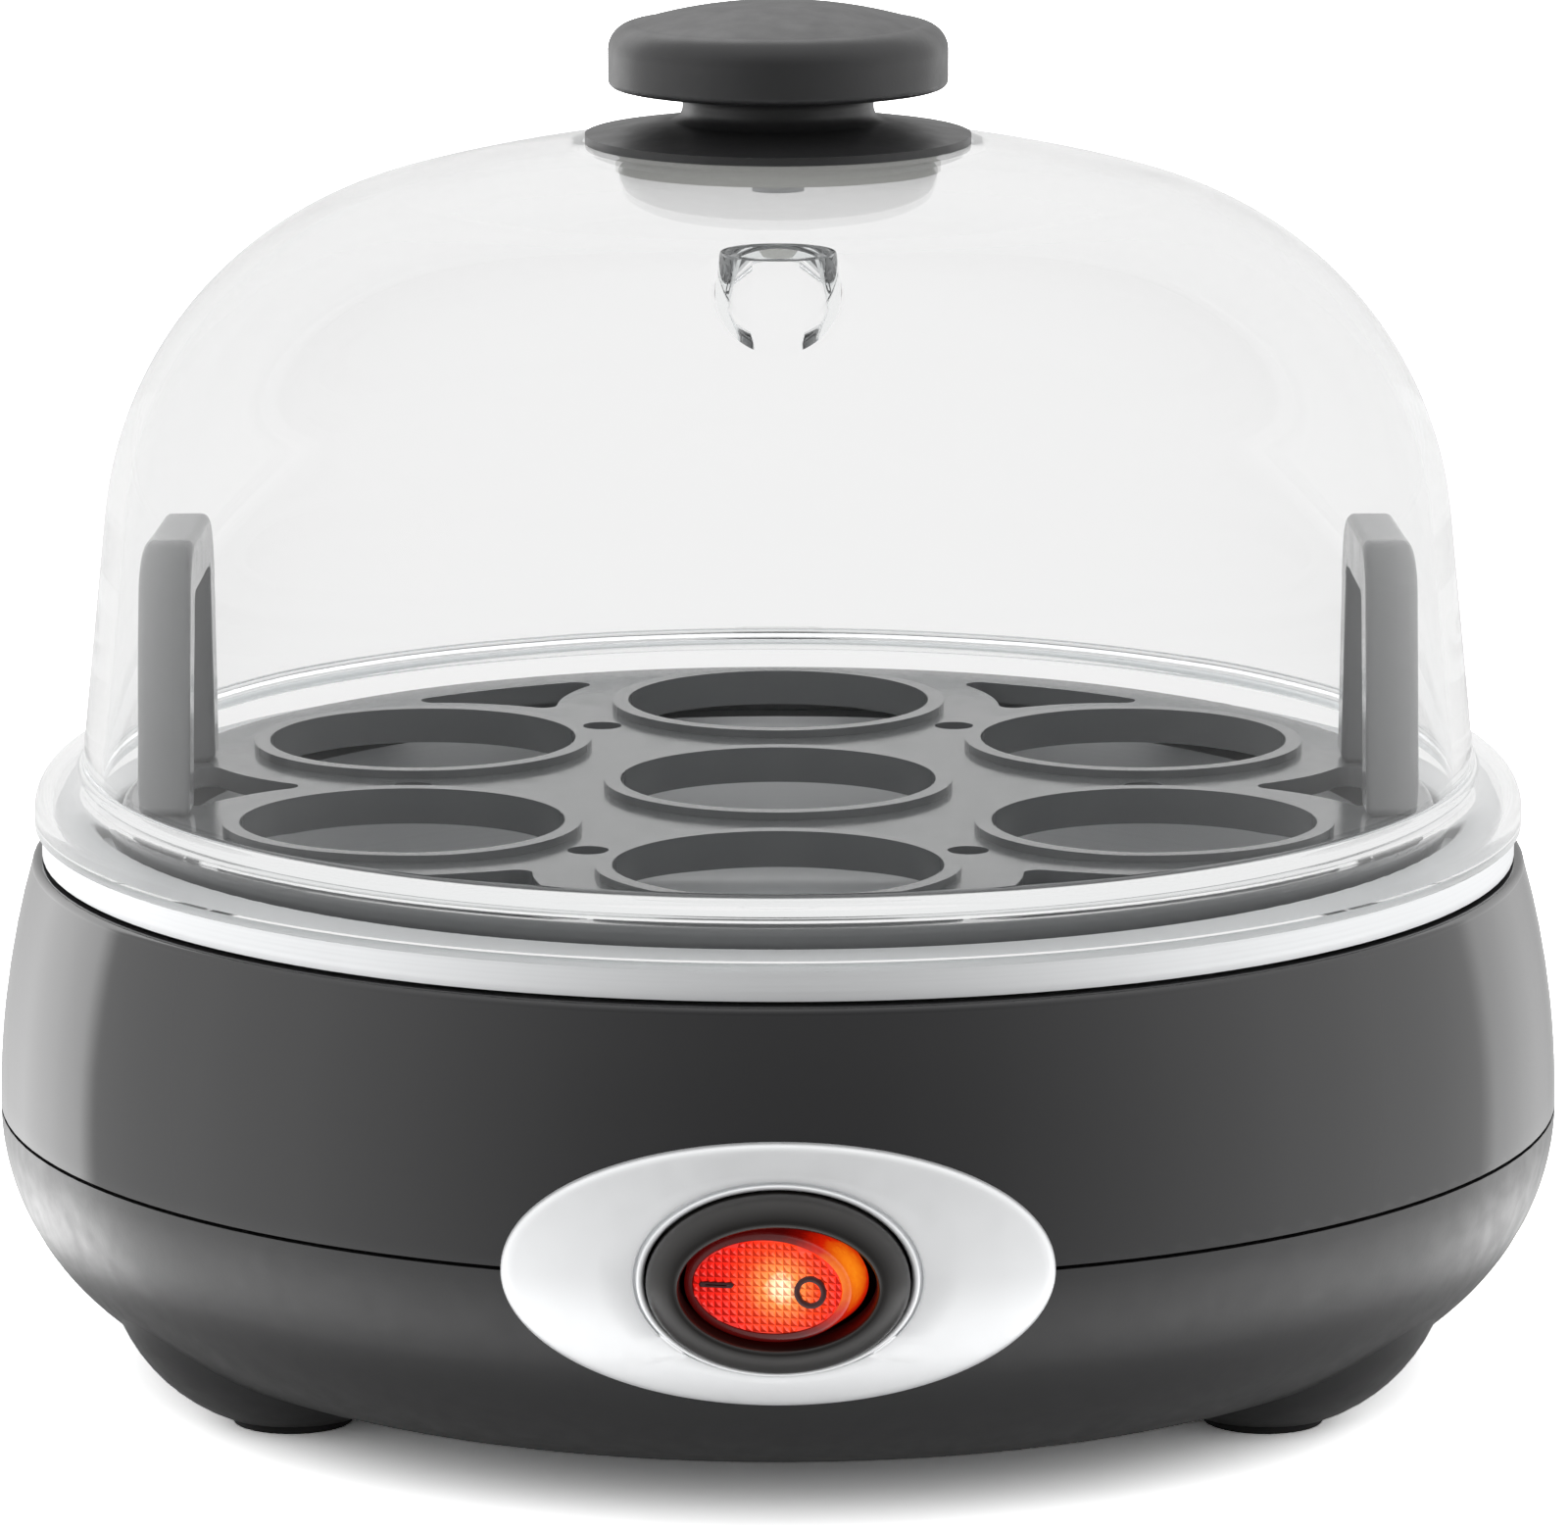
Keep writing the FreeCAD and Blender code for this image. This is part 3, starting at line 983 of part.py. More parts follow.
def heater():
    wing_holes = [cylinder("screw_radius + fit_clear / 2", "heater_wall",
                           (f"{side} * stat_wing", 0, PLATE_FACE)) for side in (-1, 1)]
    clip_hole = cylinder("screw_radius + fit_clear / 2", "heater_wall",
                         ("fuse_offset + clip_reach", "-fuse_ahead", PLATE_FACE))
    disc = cylinder("heater_radius", "heater_wall", (0, 0, PLATE_FACE))
    piece("heater_plate", cut(disc, *wing_holes, clip_hole))
    ring = bind(doc.addObject("Part::Torus", "tube_ring"), Radius1="tube_circle", Radius2="tube_radius",
                Angle3="360 - tube_gap")
    place(ring, (0, 0, TUBE_LEVEL))
    ring.setExpression("Placement.Rotation.Angle", linked("90 + tube_gap / 2"))
    tubes, beads, pins = [ring], [], []
    for angle in ("(90 + tube_gap / 2)", "(90 - tube_gap / 2)"):
        spot = polar("tube_circle", angle)
        end = f"({TUBE_LEVEL} - cold_end)"
        tubes.append(ball("tube_radius", (*spot, TUBE_LEVEL)))
        tubes.append(cylinder("tube_radius", "cold_end", (*spot, TUBE_LEVEL), "-z"))
        beads.append(cylinder("bead_radius", "bead_length", (*spot, end), "-z"))
        pins.append(cylinder("pin_radius", "pin_length", (*spot, f"{end} - bead_length"), "-z"))
    piece("heating_tube", fuse(*tubes))
    piece("heater_beads", group(*beads))
    piece("heater_pins", group(*pins))


def sorted_span(side, near, far):
    """Low and high end of a span on one side of the axis, from its distances to the axis."""
    return (near, far) if side == 1 else (f"-{far}", f"-{near}")


def thermostat():
    """Stepped thermostat that a bracket presses to the heater plate, with its blades and connectors."""
    strap_level = f"({PLATE_FACE} - heater_wall)"
    can = fuse(cylinder("stat_radius - strap_wall", "stat_height", (0, 0, STAT_FOOT)),
               cylinder("stat_radius", "heater_wall", (0, 0, strap_level)))
    level = f"({STAT_FOOT} + blade_wall)"
    half, wide = "blade_width / 2", "(blade_width / 2 + pivot_clear)"
    low, high = f"{level} - pivot_clear", f"{level} + blade_wall + pivot_clear"
    blades, slots, sleeves = [], [], []
    start = "(stat_radius + case_wall)"
    for side in (-1, 1):
        root, tip = sorted_span(side, "(stat_radius / 2)", "(stat_radius + blade_reach)")
        near, far = sorted_span(side, start, f"({start} + sleeve_length)")
        mouth, stop = sorted_span(side, start, "(stat_radius + blade_reach + pivot_clear)")
        blades.append(block((f"-{half}", root, level), (half, tip, f"{level} + blade_wall")))
        slots.append(block((f"-{wide}", root, low), (wide, tip, high)))
        sleeves.append(connector(
            (f"-{half} - sleeve_wall", near, f"{level} - sleeve_wall"),
            (f"{half} + sleeve_wall", far, f"{level} + blade_wall + sleeve_wall"),
            (f"-{wide}", mouth, low), (wide, stop, high)))
    piece("thermostat", cut(can, *slots))
    piece("thermostat_blades", group(*blades))
    piece("thermostat_spades", group(*sleeves))
    reach = "(stat_wing + screw_head + fit_clear)"
    under = f"{strap_level} - strap_wall"
    bar = block((f"-{reach}", "-strap_width / 2", under), (reach, "strap_width / 2", strap_level))
    collar = cylinder("stat_radius + 2 * strap_wall", "strap_wall", (0, 0, under))
    strap = cut(fuse(bar, collar), cylinder("stat_radius - strap_wall + pivot_clear", "2 * strap_wall",
                                            (0, 0, f"{under} - strap_wall / 2")))
    spacers, holes, screws = [], [], []
    for side in (-1, 1):
        spot = (f"{side} * stat_wing", 0)
        spacers.append(cylinder("screw_head", f"{PLATE_FACE} - {strap_level}", (*spot, strap_level)))
        holes.append(cylinder("screw_radius + fit_clear", "2 * heater_wall",
                              (*spot, f"{strap_level} - heater_wall / 2 - strap_wall / 2")))
        screws.append(screw((*spot, f"{strap_level} - strap_wall"),
                            "strap_wall + 2 * heater_wall - fit_clear"))
    piece("thermostat_bracket", cut(fuse(strap, *spacers), *holes))
    piece("thermostat_screws", group(*screws))


def thermal_fuse():
    """Fuse in an insulating sleeve that a clip holds against the heater plate."""
    middle = "fuse_offset"
    sleeve_outer = "(fuse_radius + fuse_sleeve_wall + fit_clear)"
    start = (middle, "-fuse_ahead - fuse_sleeve_length / 2", FUSE_LEVEL)
    piece("fuse_sleeve", cut(
        cylinder(sleeve_outer, "fuse_sleeve_length", start, "y"),
        cylinder("fuse_radius + fit_clear", "fuse_sleeve_length", start, "y")))
    piece("thermal_fuse", cylinder("fuse_radius", "fuse_length",
                                   (middle, "-fuse_ahead - fuse_length / 2", FUSE_LEVEL), "y"))
    grip = f"({sleeve_outer} + fit_clear)"
    front = "(-fuse_ahead - strap_width / 2)"
    back = "(-fuse_ahead + strap_width / 2)"
    wrap = cylinder(f"{grip} + strap_wall", "strap_width", (middle, front, FUSE_LEVEL), "y")
    tab = block((middle, front, f"{PLATE_FACE} - strap_wall"),
                (f"{middle} + clip_reach + screw_head + seam_gap", back, PLATE_FACE))
    above = block((f"{middle} - 2 * {grip}", f"{front} - fit_clear", PLATE_FACE),
                  (f"{middle} + 4 * {grip}", f"{back} + fit_clear", f"{PLATE_FACE} + {grip}"))
    bore = cylinder(grip, "2 * strap_width", (middle, f"{front} - strap_width / 2", FUSE_LEVEL), "y")
    gap = block((f"{middle} - 0.8 * {grip}", f"{front} - fit_clear", FUSE_LEVEL),
                (f"{middle} + 0.8 * {grip}", f"{back} + fit_clear", f"{PLATE_FACE} + {grip}"))
    spot = (f"{middle} + clip_reach", "-fuse_ahead")
    hole = cylinder("screw_radius + fit_clear", "2 * strap_wall",
                    (*spot, f"{PLATE_FACE} - 1.5 * strap_wall"))
    piece("fuse_clip", cut(fuse(wrap, tab), above, gap, bore, hole))
    piece("fuse_clip_screw", screw((*spot, f"{PLATE_FACE} - strap_wall"),
                                   "strap_wall + heater_wall - fit_clear"))


def terminal_block():
    half = ("block_length / 2", "block_width / 2")
    body = block((f"block_x - {half[0]}", f"block_y - {half[1]}", FLOOR_INSIDE),
                 (f"block_x + {half[0]}", f"block_y + {half[1]}", f"{FLOOR_INSIDE} + block_height"))
    spot = ("block_x", "block_y")
    hole = cylinder("screw_radius + fit_clear", "block_height", (*spot, FLOOR_INSIDE))
    seat = cylinder("post_radius + fit_clear", "block_height / 2", (*spot, FLOOR_INSIDE))
    head = cylinder("screw_head + fit_clear", "screw_head_height",
                    (*spot, f"{FLOOR_INSIDE} + block_height - screw_head_height"))
    piece("terminal_block", cut(body, hole, seat, head))
    piece("terminal_block_screw", screw((*spot, f"{FLOOR_INSIDE} + block_height - screw_head_height"),
                                        "screw_bite - screw_head_height", "-z"))


def lead(label, points):
    """Insulated lead: straight runs joined by arcs as large as the runs allow."""
    spots = [FreeCAD.Vector(*(size(value) for value in point)) for point in points]
    edges = []
    here = spots[0]
    for index in range(1, len(spots) - 1):
        before = spots[index - 1] - spots[index]
        after = spots[index + 1] - spots[index]
        run = 0.45 * min(before.Length, after.Length)
        turn = math.pi - before.getAngle(after)
        start = spots[index] + before.normalize() * run
        end = spots[index] + after.normalize() * run
        radius = run / math.tan(turn / 2)
        inward = ((start + end) / 2 - spots[index]).normalize()
        middle = spots[index] + inward * (radius / math.cos(turn / 2) - radius)
        edges.append(Part.LineSegment(here, start).toShape())
        edges.append(Part.Arc(start, middle, end).toShape())
        here = end
    edges.append(Part.LineSegment(here, spots[-1]).toShape())
    path = Part.Wire(edges)
    circle = Part.Circle(spots[0], spots[1] - spots[0], size("lead_radius"))
    sweep = Part.BRepOffsetAPI.MakePipeShell(path)
    sweep.add(Part.Wire(circle.toShape()))
    sweep.build()
    sweep.makeSolid()
    thing = doc.addObject("Part::Feature", label)
    thing.Shape = sweep.shape()
    thing.Placement = FreeCAD.Placement()
    return piece(label, thing)


def leads():
    """Leads between the terminal block, switch, thermostat, heater, fuse and pan."""
    spade = f"(-({CASE_BACK} - 1.5 * case_wall - sleeve_length))"
    stat_level = f"({STAT_FOOT} + 1.5 * blade_wall)"
    stat_end = "(stat_radius + case_wall + sleeve_length)"
    under_tube = f"({TUBE_LEVEL} - 2 * tube_radius + lead_radius)"
    block_side = "(block_x - block_length / 2)"
    block_front = "(block_y - block_width / 2)"
    block_level = f"({FLOOR_INSIDE} + block_height / 2)"
    pin_end = f"({TUBE_LEVEL} - cold_end - bead_length - pin_length)"
    pin_low = f"({pin_end} - 4.5)"
    pin_x, pin_y = polar("tube_circle", "(90 - tube_gap / 2)")
    fuse_front = "(-fuse_ahead - fuse_length / 2)"
    fuse_back = "(-fuse_ahead + fuse_length / 2)"
    stud_end = f"({LEDGE} - sheet_wall - stud_length)"
    lead("lead_lamp", [
        ("-blade_pitch", spade, PARTING),
        ("-blade_pitch", f"{spade} + 10", PARTING),
        ("-blade_pitch - 15", f"{spade} + 19", f"{block_level} + 3"),
        ("block_x - 8", f"{block_front} - 22", block_level),
        ("block_x - 8", block_front, block_level),
    ])
    lead("lead_live", [
        ("blade_pitch", spade, PARTING),
        ("blade_pitch", f"{spade} + 7", PARTING),
        ("blade_pitch - 2", f"{spade} + 12", f"{block_level} + 4"),
        ("-12", f"{spade} + 24", block_level),
        ("block_x - 2", f"{block_front} - 20", block_level),
        ("block_x - 2", block_front, block_level),
    ])
    lead("lead_switched", [
        ("0", spade, PARTING),
        ("0", f"{spade} + 7", PARTING),
        ("0", f"{spade} + 14", under_tube),
        ("0", f"-{stat_end} - 9", under_tube),
        ("0", f"-{stat_end} - 4", stat_level),
        ("0", f"-{stat_end}", stat_level),
    ])
    lead("lead_heater", [
        ("0", stat_end, stat_level),
        ("0", f"{stat_end} + 7", stat_level),
        ("-8", f"{stat_end} + 14", f"{pin_end} + 1"),
        (f"-({pin_x})", f"{pin_y} + 8", pin_low),
        (f"-({pin_x})", pin_y, pin_low),
        (f"-({pin_x})", pin_y, pin_end),
    ])
    lead("lead_fuse", [
        (pin_x, pin_y, pin_end),
        (pin_x, pin_y, pin_low),
        ("fuse_offset", f"{pin_y} - 9", f"{pin_end} - 2"),
        ("fuse_offset", f"{fuse_back} + 15", f"{pin_end} + 10"),
        ("fuse_offset", f"{fuse_back} + 8", FUSE_LEVEL),
        ("fuse_offset", fuse_back, FUSE_LEVEL),
    ])
    lead("lead_neutral", [
        ("fuse_offset", fuse_front, FUSE_LEVEL),
        ("fuse_offset", f"{fuse_front} - 7", FUSE_LEVEL),
        ("fuse_offset - 3", f"{fuse_front} - 11", f"{block_level} + 4"),
        ("-4", f"{fuse_front} - 5", block_level),
        ("block_x + 4", f"{block_front} - 14", block_level),
        ("block_x + 4", block_front, block_level),
    ])
    lead("lead_earth", [
        (block_side, "block_y", block_level),
        (f"{block_side} - 8", "block_y", block_level),
        (f"-{STUD_CIRCLE}", "block_y - 12", f"{block_level} + 12"),
        (f"-{STUD_CIRCLE}", "0", f"{stud_end} - 12"),
        (f"-{STUD_CIRCLE}", "0", stud_end),
    ])


upper_housing()
lower_housing()
foot_pads()
housing_screws()
heating_pan()
pan_gasket()
pan_studs()
egg_tray()
tray_handle("tray_handle_left", -1)
tray_handle("tray_handle_right", 1)
lid_dome()
lid_knob()
knob_fixing()
switch_bezel()
switch_frame()
rocker()
contact_lever()
switch_blades()
switch_spades()
cord_gland()
cord_clamp()
heater()
thermostat()
thermal_fuse()
terminal_block()
leads()
doc.recompute()

for thing in doc.Objects:
    if "Invalid" in thing.State or "Error" in thing.State:
        raise RuntimeError(f"{thing.Name} ({thing.Label}) failed: {thing.State}")
for thing in pieces:
    if thing.Shape.isNull() or not thing.Shape.isValid() or not thing.Shape.Solids:
        raise RuntimeError(f"{thing.Label} has no valid solid")

os.makedirs("parts", exist_ok=True)
for thing in pieces:
    thing.Shape.exportStep(f"parts/{thing.Label}.step")
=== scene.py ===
"""Looks of an egg cooker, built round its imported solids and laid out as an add-on that runs as a script."""

import json
import math

import bmesh
import bpy
from mathutils import Matrix, Vector


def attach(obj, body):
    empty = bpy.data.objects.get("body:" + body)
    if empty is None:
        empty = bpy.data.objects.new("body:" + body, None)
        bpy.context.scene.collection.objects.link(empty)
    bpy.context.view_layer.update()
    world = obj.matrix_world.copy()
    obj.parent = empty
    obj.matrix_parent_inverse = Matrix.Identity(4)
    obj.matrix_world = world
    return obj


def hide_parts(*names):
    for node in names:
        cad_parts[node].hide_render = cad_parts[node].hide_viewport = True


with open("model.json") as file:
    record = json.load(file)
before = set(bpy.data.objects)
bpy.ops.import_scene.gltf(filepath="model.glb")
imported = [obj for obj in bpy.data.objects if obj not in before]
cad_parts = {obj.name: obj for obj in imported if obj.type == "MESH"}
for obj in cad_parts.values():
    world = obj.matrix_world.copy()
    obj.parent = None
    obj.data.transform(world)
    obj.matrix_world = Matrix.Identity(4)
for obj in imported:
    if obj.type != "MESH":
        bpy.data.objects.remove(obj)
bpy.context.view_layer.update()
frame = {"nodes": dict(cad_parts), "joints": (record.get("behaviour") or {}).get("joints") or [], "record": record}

bl_info = {
    "name": "Egg cooker looks",
    "version": (1, 0, 0),
    "blender": (4, 5, 0),
    "location": "View3D > Sidebar > Egg cooker",
    "description": "Finishes, switch details and a white studio for the egg cooker",
    "category": "Object",
}

MM = 0.001
SLOTS = {row["node"]: row["material_slot"] for row in frame["record"]["subparts"]}
BODIES = frame["record"]["behaviour"]["bodies"]
JOINTS = {joint["name"]: joint for joint in frame["joints"]}
PIVOT = Vector(JOINTS["rocker_press"]["pos_m"])

ROUND_STEPS = 96

# Housings, in mm: belly radius and level, and the rounds above and below it.
BELLY = 85.0
BELLY_LEVEL = PIVOT.z / MM
BARREL = 94.48
LOWER_ROUND = 25.0
HOUSING_NODES = ("upper_housing", "lower_housing", "foot_pads", "housing_screws", "cord_gland")
PAN_NODES = ("heating_pan", "pan_gasket", "pan_studs", "stud_washers", "stud_nuts")

# Lid, in mm: screw hole and flat under the knob, centres and radii of its round and its crown,
# and the angles from upright where the round begins and ends.
LID_HOLE, LID_FLAT, LID_TOP, LID_UNDER = 2.0, 12.0, 133.8, 131.93
ROUND_CENTRE, ROUND_OUTER, ROUND_INNER = (31.86, 89.74), 41.2, 39.0
CROWN_CENTRE, CROWN_OUTER, CROWN_INNER = (0.0, -24.71), 160.0, 157.8
ROUND_START, ROUND_END = 15.56, 84.21
# Steam spout, in mm: place, top, outside radius there, taper and wall.
SPOUT_OUT, SPOUT_TOP, SPOUT_RADIUS, SPOUT_SLOPE, SPOUT_WALL = 52.0, 129.23, 6.0, 1.0 / 12, 0.6
SPOUT_STEPS = 64
# Holes left in the lathed dome, outside and inside, and the spout's rings that are joined to them, in mm.
HOLE_OUTER, HOLE_INNER = 9.8, 8.4
SKIRT_OUTER, SKIRT_INNER = 8.6, 7.6

# Lower corners of the switch case across and up from the pivot, their reach from the axis,
# and how far round them the bezel is lifted, in mm.
CASE_CORNER, CASE_FRONT, CASE_LIFT = (10.9, -7.2), 84.65, 1.6
# Least reach of the bezel's lip from the axis, in mm.
LIP_REACH = 84.75

# Rocker: tilt at rest, then levels in front of the pivot with half widths and half heights, in mm.
ROCKER_TILT = math.radians(-12)
ROCKER_FOOT = (-2.38, 8.5, 5.25)
ROCKER_WAIST = (0.35, 9.4, 6.0)
ROCKER_FACE = (6.5, 8.45, 5.7)
# Shallow vee of its face, in mm: level of the crease, slope and softening.
ROCKER_CREASE, ROCKER_SLOPE, CREASE_SOFT = 5.0, 0.04, 0.8
# Pivot pin and plunger sleeve of the rocker: ends and radius, in mm.
ROCKER_RODS = (((0, 0, -7.1), (0, 0, 7.1), 1.3), ((0, -2.3, 0), (0, -7.0, 0), 1.7))
# Pocket under the lens, in mm: depth and draft of its wall.
POCKET_DEPTH, POCKET_DRAFT = 0.3, 0.06
# Lens, in mm: clearance to the rim, where its width is taken, sink below the face and wall under the prisms.
LENS_CLEAR, LENS_ACROSS, LENS_SINK, LENS_WALL = 0.08, 7.0, 0.1, 0.15
# Centres of the painted glow on the wall and on the lens, standing in for the light of the lamp inside the switch:
# place across, out and up from the pivot, and the reach of the glow, in mm.
WALL_GLOW_CENTRE, WALL_GLOW_REACH = (6.6, 3.2, 1.0), 7.0
LENS_GLOW_CENTRE, LENS_GLOW_REACH = (1.4, 4.0, 0.0), 8.6
# Marks, in mm: places of the ring and the bar, sink, rounding, and the share that their tops are narrowed by.
RING_PLACE, BAR_PLACE = (4.45, -0.2), (-5.2, 0.1)
MARK_SINK, MARK_ROUND, MARK_TAPER = 0.05, 0.06, 0.14
# Core line of the bar mark as shares of its length and stroke.
BAR_CORE = (0.6, 0.1)
# Way that the facets with painted glints face: the rocker's emission is raised on facets turned this way.
PAINTED_GLINT_WAY = (0.5, -0.7, 0.5)

# Usual reach of a noise texture's values, and the size of a finish's mottle against its grain.
NOISE_LOW, NOISE_HIGH = 0.3, 0.7
MOTTLE = 8
# Bounces after which light trapped in the lid passes straight through.
TRAPPED_DEPTH = 4.5

# Studio mirrored by the object, by the angle from the camera's side in degrees, where a level of 1 is white:
# the front, then the panels behind on the left and on the right, and how the whole is turned.
STUDIO_FRONT = ((0, 0.22), (28, 0.42), (43, 0.68), (59, 1.0), (76, 1.3), (96, 1.38), (121, 1.15))
STUDIO_LEFT = (
    *STUDIO_FRONT, (126, 2.7), (136, 2.5), (148, 1.95), (157, 1.25), (162, 0.95), (168, 0.7), (180, 0.5))
STUDIO_RIGHT = (
    *STUDIO_FRONT, (126, 1.8), (138, 1.55), (145, 1.3), (150, 1.05), (156, 0.75), (168, 0.5), (180, 0.5))
STUDIO_TURN = math.radians(-3.2)
# Sideways share of a direction over which the left side gives way to the right one.
SIDE_BLEND = 0.25
# Gain of the floor in mirror images, and the downward shares of a direction where it begins and is full.
FLOOR_GAIN, FLOOR_BEGINS, FLOOR_FULL = 1.9, -0.22, -0.36
# Distances from the axis, in metres, between which mirrored rays come to pass the floor.
FLOOR_NEAR, FLOOR_FAR = 0.088, 0.105
# Floor brightness for light that it throws back, for the eye, in mirror images and seen through the lid.
PAPER_LIT, PAPER_SEEN, PAPER_MIRROR, PAPER_BEHIND = 0.85, 3.6, 0.9, 0.94
# Camera: place and aim in metres, sensor and lens in mm, and sideways shift.
CAMERA_PLACE, CAMERA_AIM = (0, -0.981, 0.2595), (0, 0, 0.0654)
CAMERA_SENSOR, CAMERA_LENS, CAMERA_SHIFT = 36.0, 210.6, 0.00375


def linear(code):
    """Linear colour of an sRGB hex code."""
    parts = [int(code[i:i + 2], 16) / 255 for i in (1, 3, 5)]
    return tuple(c / 12.92 if c <= 0.04045 else ((c + 0.055) / 1.055) ** 2.4 for c in parts)


def colour(label, code, about):
    """Colour property whose default is an sRGB hex code."""
    return bpy.props.FloatVectorProperty(
        name=label, description=about, subtype="COLOR", size=3, min=0, max=1, default=linear(code))


def length(label, value, about):
    """Length property, given in mm and kept in metres."""
    return bpy.props.FloatProperty(
        name=label, description=about, default=value * MM, min=0, precision=5,
        subtype="DISTANCE", unit="LENGTH")


class CookerColours(bpy.types.PropertyGroup):
    """Colours of the finishes that show."""

    housing: colour("Upper housing", "#2a2a2b", "Gloss charcoal of the upper housing")
    base: colour("Base", "#202021", "Satin charcoal of the base and the feet")
    knob: colour("Knob", "#252526", "Satin charcoal of the knob")
    tray: colour("Tray", "#646566", "Grey of the egg tray and its handles")
    switch_frame: colour("Switch frame", "#120e0b", "Black of the switch frame")
    rocker: colour("Rocker", "#6a0504", "Red of the lit rocker")
    marks: colour("Marks", "#3a0204", "Dark marks on the rocker")


class CookerSizes(bpy.types.PropertyGroup):
    """Sizes of the switch details."""

    prism_pitch: length("Prism pitch", 0.78, "Spacing of the prisms on the rocker")
    prism_height: length("Prism height", 0.36, "Height of the prisms on the rocker")
    rim_round: length("Rim round", 0.55, "Rounded rim of the rocker")
    rim_width: length("Rim width", 0.9, "Plain rim round the prisms")
    mark_width: length("Mark width", 0.56, "Stroke of the marks on the rocker")
    mark_height: length("Mark height", 0.2, "Marks above the prisms")
    ring_radius: length("Ring radius", 1.38, "Ring mark, to the middle of its stroke")
    bar_length: length("Bar length", 3.5, "Bar mark")


# ---------------------------------------------------------------- materials

def add(tree, kind, inputs=None, stops=None, **settings):
    """Adds a node; inputs are values or sockets to link, stops the places and colours of a ramp."""
    made = tree.nodes.new("ShaderNode" + kind)
    for key, value in settings.items():
        setattr(made, key, value)
    for key, value in (inputs or {}).items():
        if isinstance(value, bpy.types.NodeSocket):
            tree.links.new(value, made.inputs[key])
        else:
            made.inputs[key].default_value = value
    for index, (place, shade) in enumerate(stops or []):
        elements = made.color_ramp.elements
        stop = elements[index] if index < 2 else elements.new(place)
        stop.position = place
        stop.color = (*shade, 1)
    return made


def material(name):
    """Empty node material and its tree."""
    made = bpy.data.materials.new(name)
    made.use_nodes = True
    made.node_tree.nodes.clear()
    return made, made.node_tree


def output(tree, shader):
    add(tree, "OutputMaterial", {"Surface": shader})


def surface(name, shade, roughness, spread, grain, relief, **principled):
    """One-shader finish: roughness varies by spread and bump by relief, over a grain in mm."""
    made, tree = material(name)
    place = add(tree, "TexCoord").outputs["Object"]
    mottle = add(tree, "TexNoise", {"Vector": place, "Scale": 1 / (grain * MOTTLE * MM), "Detail": 3})
    rough = add(tree, "MapRange", {
        "Value": mottle.outputs["Fac"], "From Min": NOISE_LOW, "From Max": NOISE_HIGH,
        "To Min": roughness - spread, "To Max": roughness + spread})
    texture = add(tree, "TexNoise", {"Vector": place, "Scale": 1 / (grain * MM), "Detail": 2})
    bump = add(tree, "Bump", {"Strength": 1.0, "Distance": relief * MM, "Height": texture.outputs["Fac"]})
    values = {key.replace("_", " "): value for key, value in principled.items()}
    shader = add(tree, "BsdfPrincipled", {
        "Base Color": (*shade, 1), "Roughness": rough.outputs["Result"],
        "Normal": bump.outputs["Normal"], **values})
    output(tree, shader.outputs["BSDF"])
    return made


def palette():
    return bpy.context.scene.cooker_colours


def gloss_abs():
    """Polished-mould ABS: deep, clean reflections with a faint moulded ripple."""
    return surface("gloss moulded ABS", palette().housing, 0.07, 0.02, 5.0, 0.002, IOR=1.53)


def satin_abs():
    """Fine-sparked ABS: broad soft reflections over a fine even texture."""
    return surface("satin moulded ABS", palette().base, 0.34, 0.04, 0.35, 0.006, IOR=1.49)


def knob_abs():
    """Coarser sparked ABS of the knob: duller than the base, with softer reflections."""
    return surface("satin moulded ABS knob", palette().knob, 0.4, 0.04, 0.35, 0.008, IOR=1.49)


def tray_pp():
    """Satin polypropylene: a pale grey sheen at a low angle."""
    return surface("satin moulded polypropylene", palette().tray, 0.16, 0.04, 0.5, 0.003, IOR=1.49)


def clear_san():
    """Clear moulded SAN: bends light at its edges; shadow rays and light trapped in its wall pass straight."""
    made, tree = material("clear moulded SAN")
    place = add(tree, "TexCoord").outputs["Object"]
    flow = add(tree, "TexNoise", {"Vector": place, "Scale": 1 / (18 * MM), "Detail": 1})
    bump = add(tree, "Bump", {"Strength": 1.0, "Distance": 0.02 * MM, "Height": flow.outputs["Fac"]})
    shader = add(tree, "BsdfPrincipled", {
        "Base Color": (*linear("#fcfcfc"), 1), "Roughness": 0.0, "IOR": 1.5, "Transmission Weight": 1.0,
        "Specular Tint": (0.12, 0.12, 0.12, 1), "Normal": bump.outputs["Normal"]})
    clear = add(tree, "BsdfTransparent", {"Color": (*linear("#f4f5f5"), 1)})
    rays = add(tree, "LightPath")
    spread = add(tree, "Math", {0: rays.outputs["Is Shadow Ray"], 1: rays.outputs["Is Diffuse Ray"]},
                 operation="MAXIMUM")
    trapped = add(tree, "Math", {0: rays.outputs["Ray Depth"], 1: TRAPPED_DEPTH},
                  operation="GREATER_THAN")
    passing = add(tree, "Math", {0: spread.outputs["Value"], 1: trapped.outputs["Value"]},
                  operation="MAXIMUM")
    mixed = add(tree, "MixShader", {"Fac": passing.outputs["Value"], 1: shader.outputs["BSDF"],
                                    2: clear.outputs["BSDF"]})
    output(tree, mixed.outputs["Shader"])
    return made


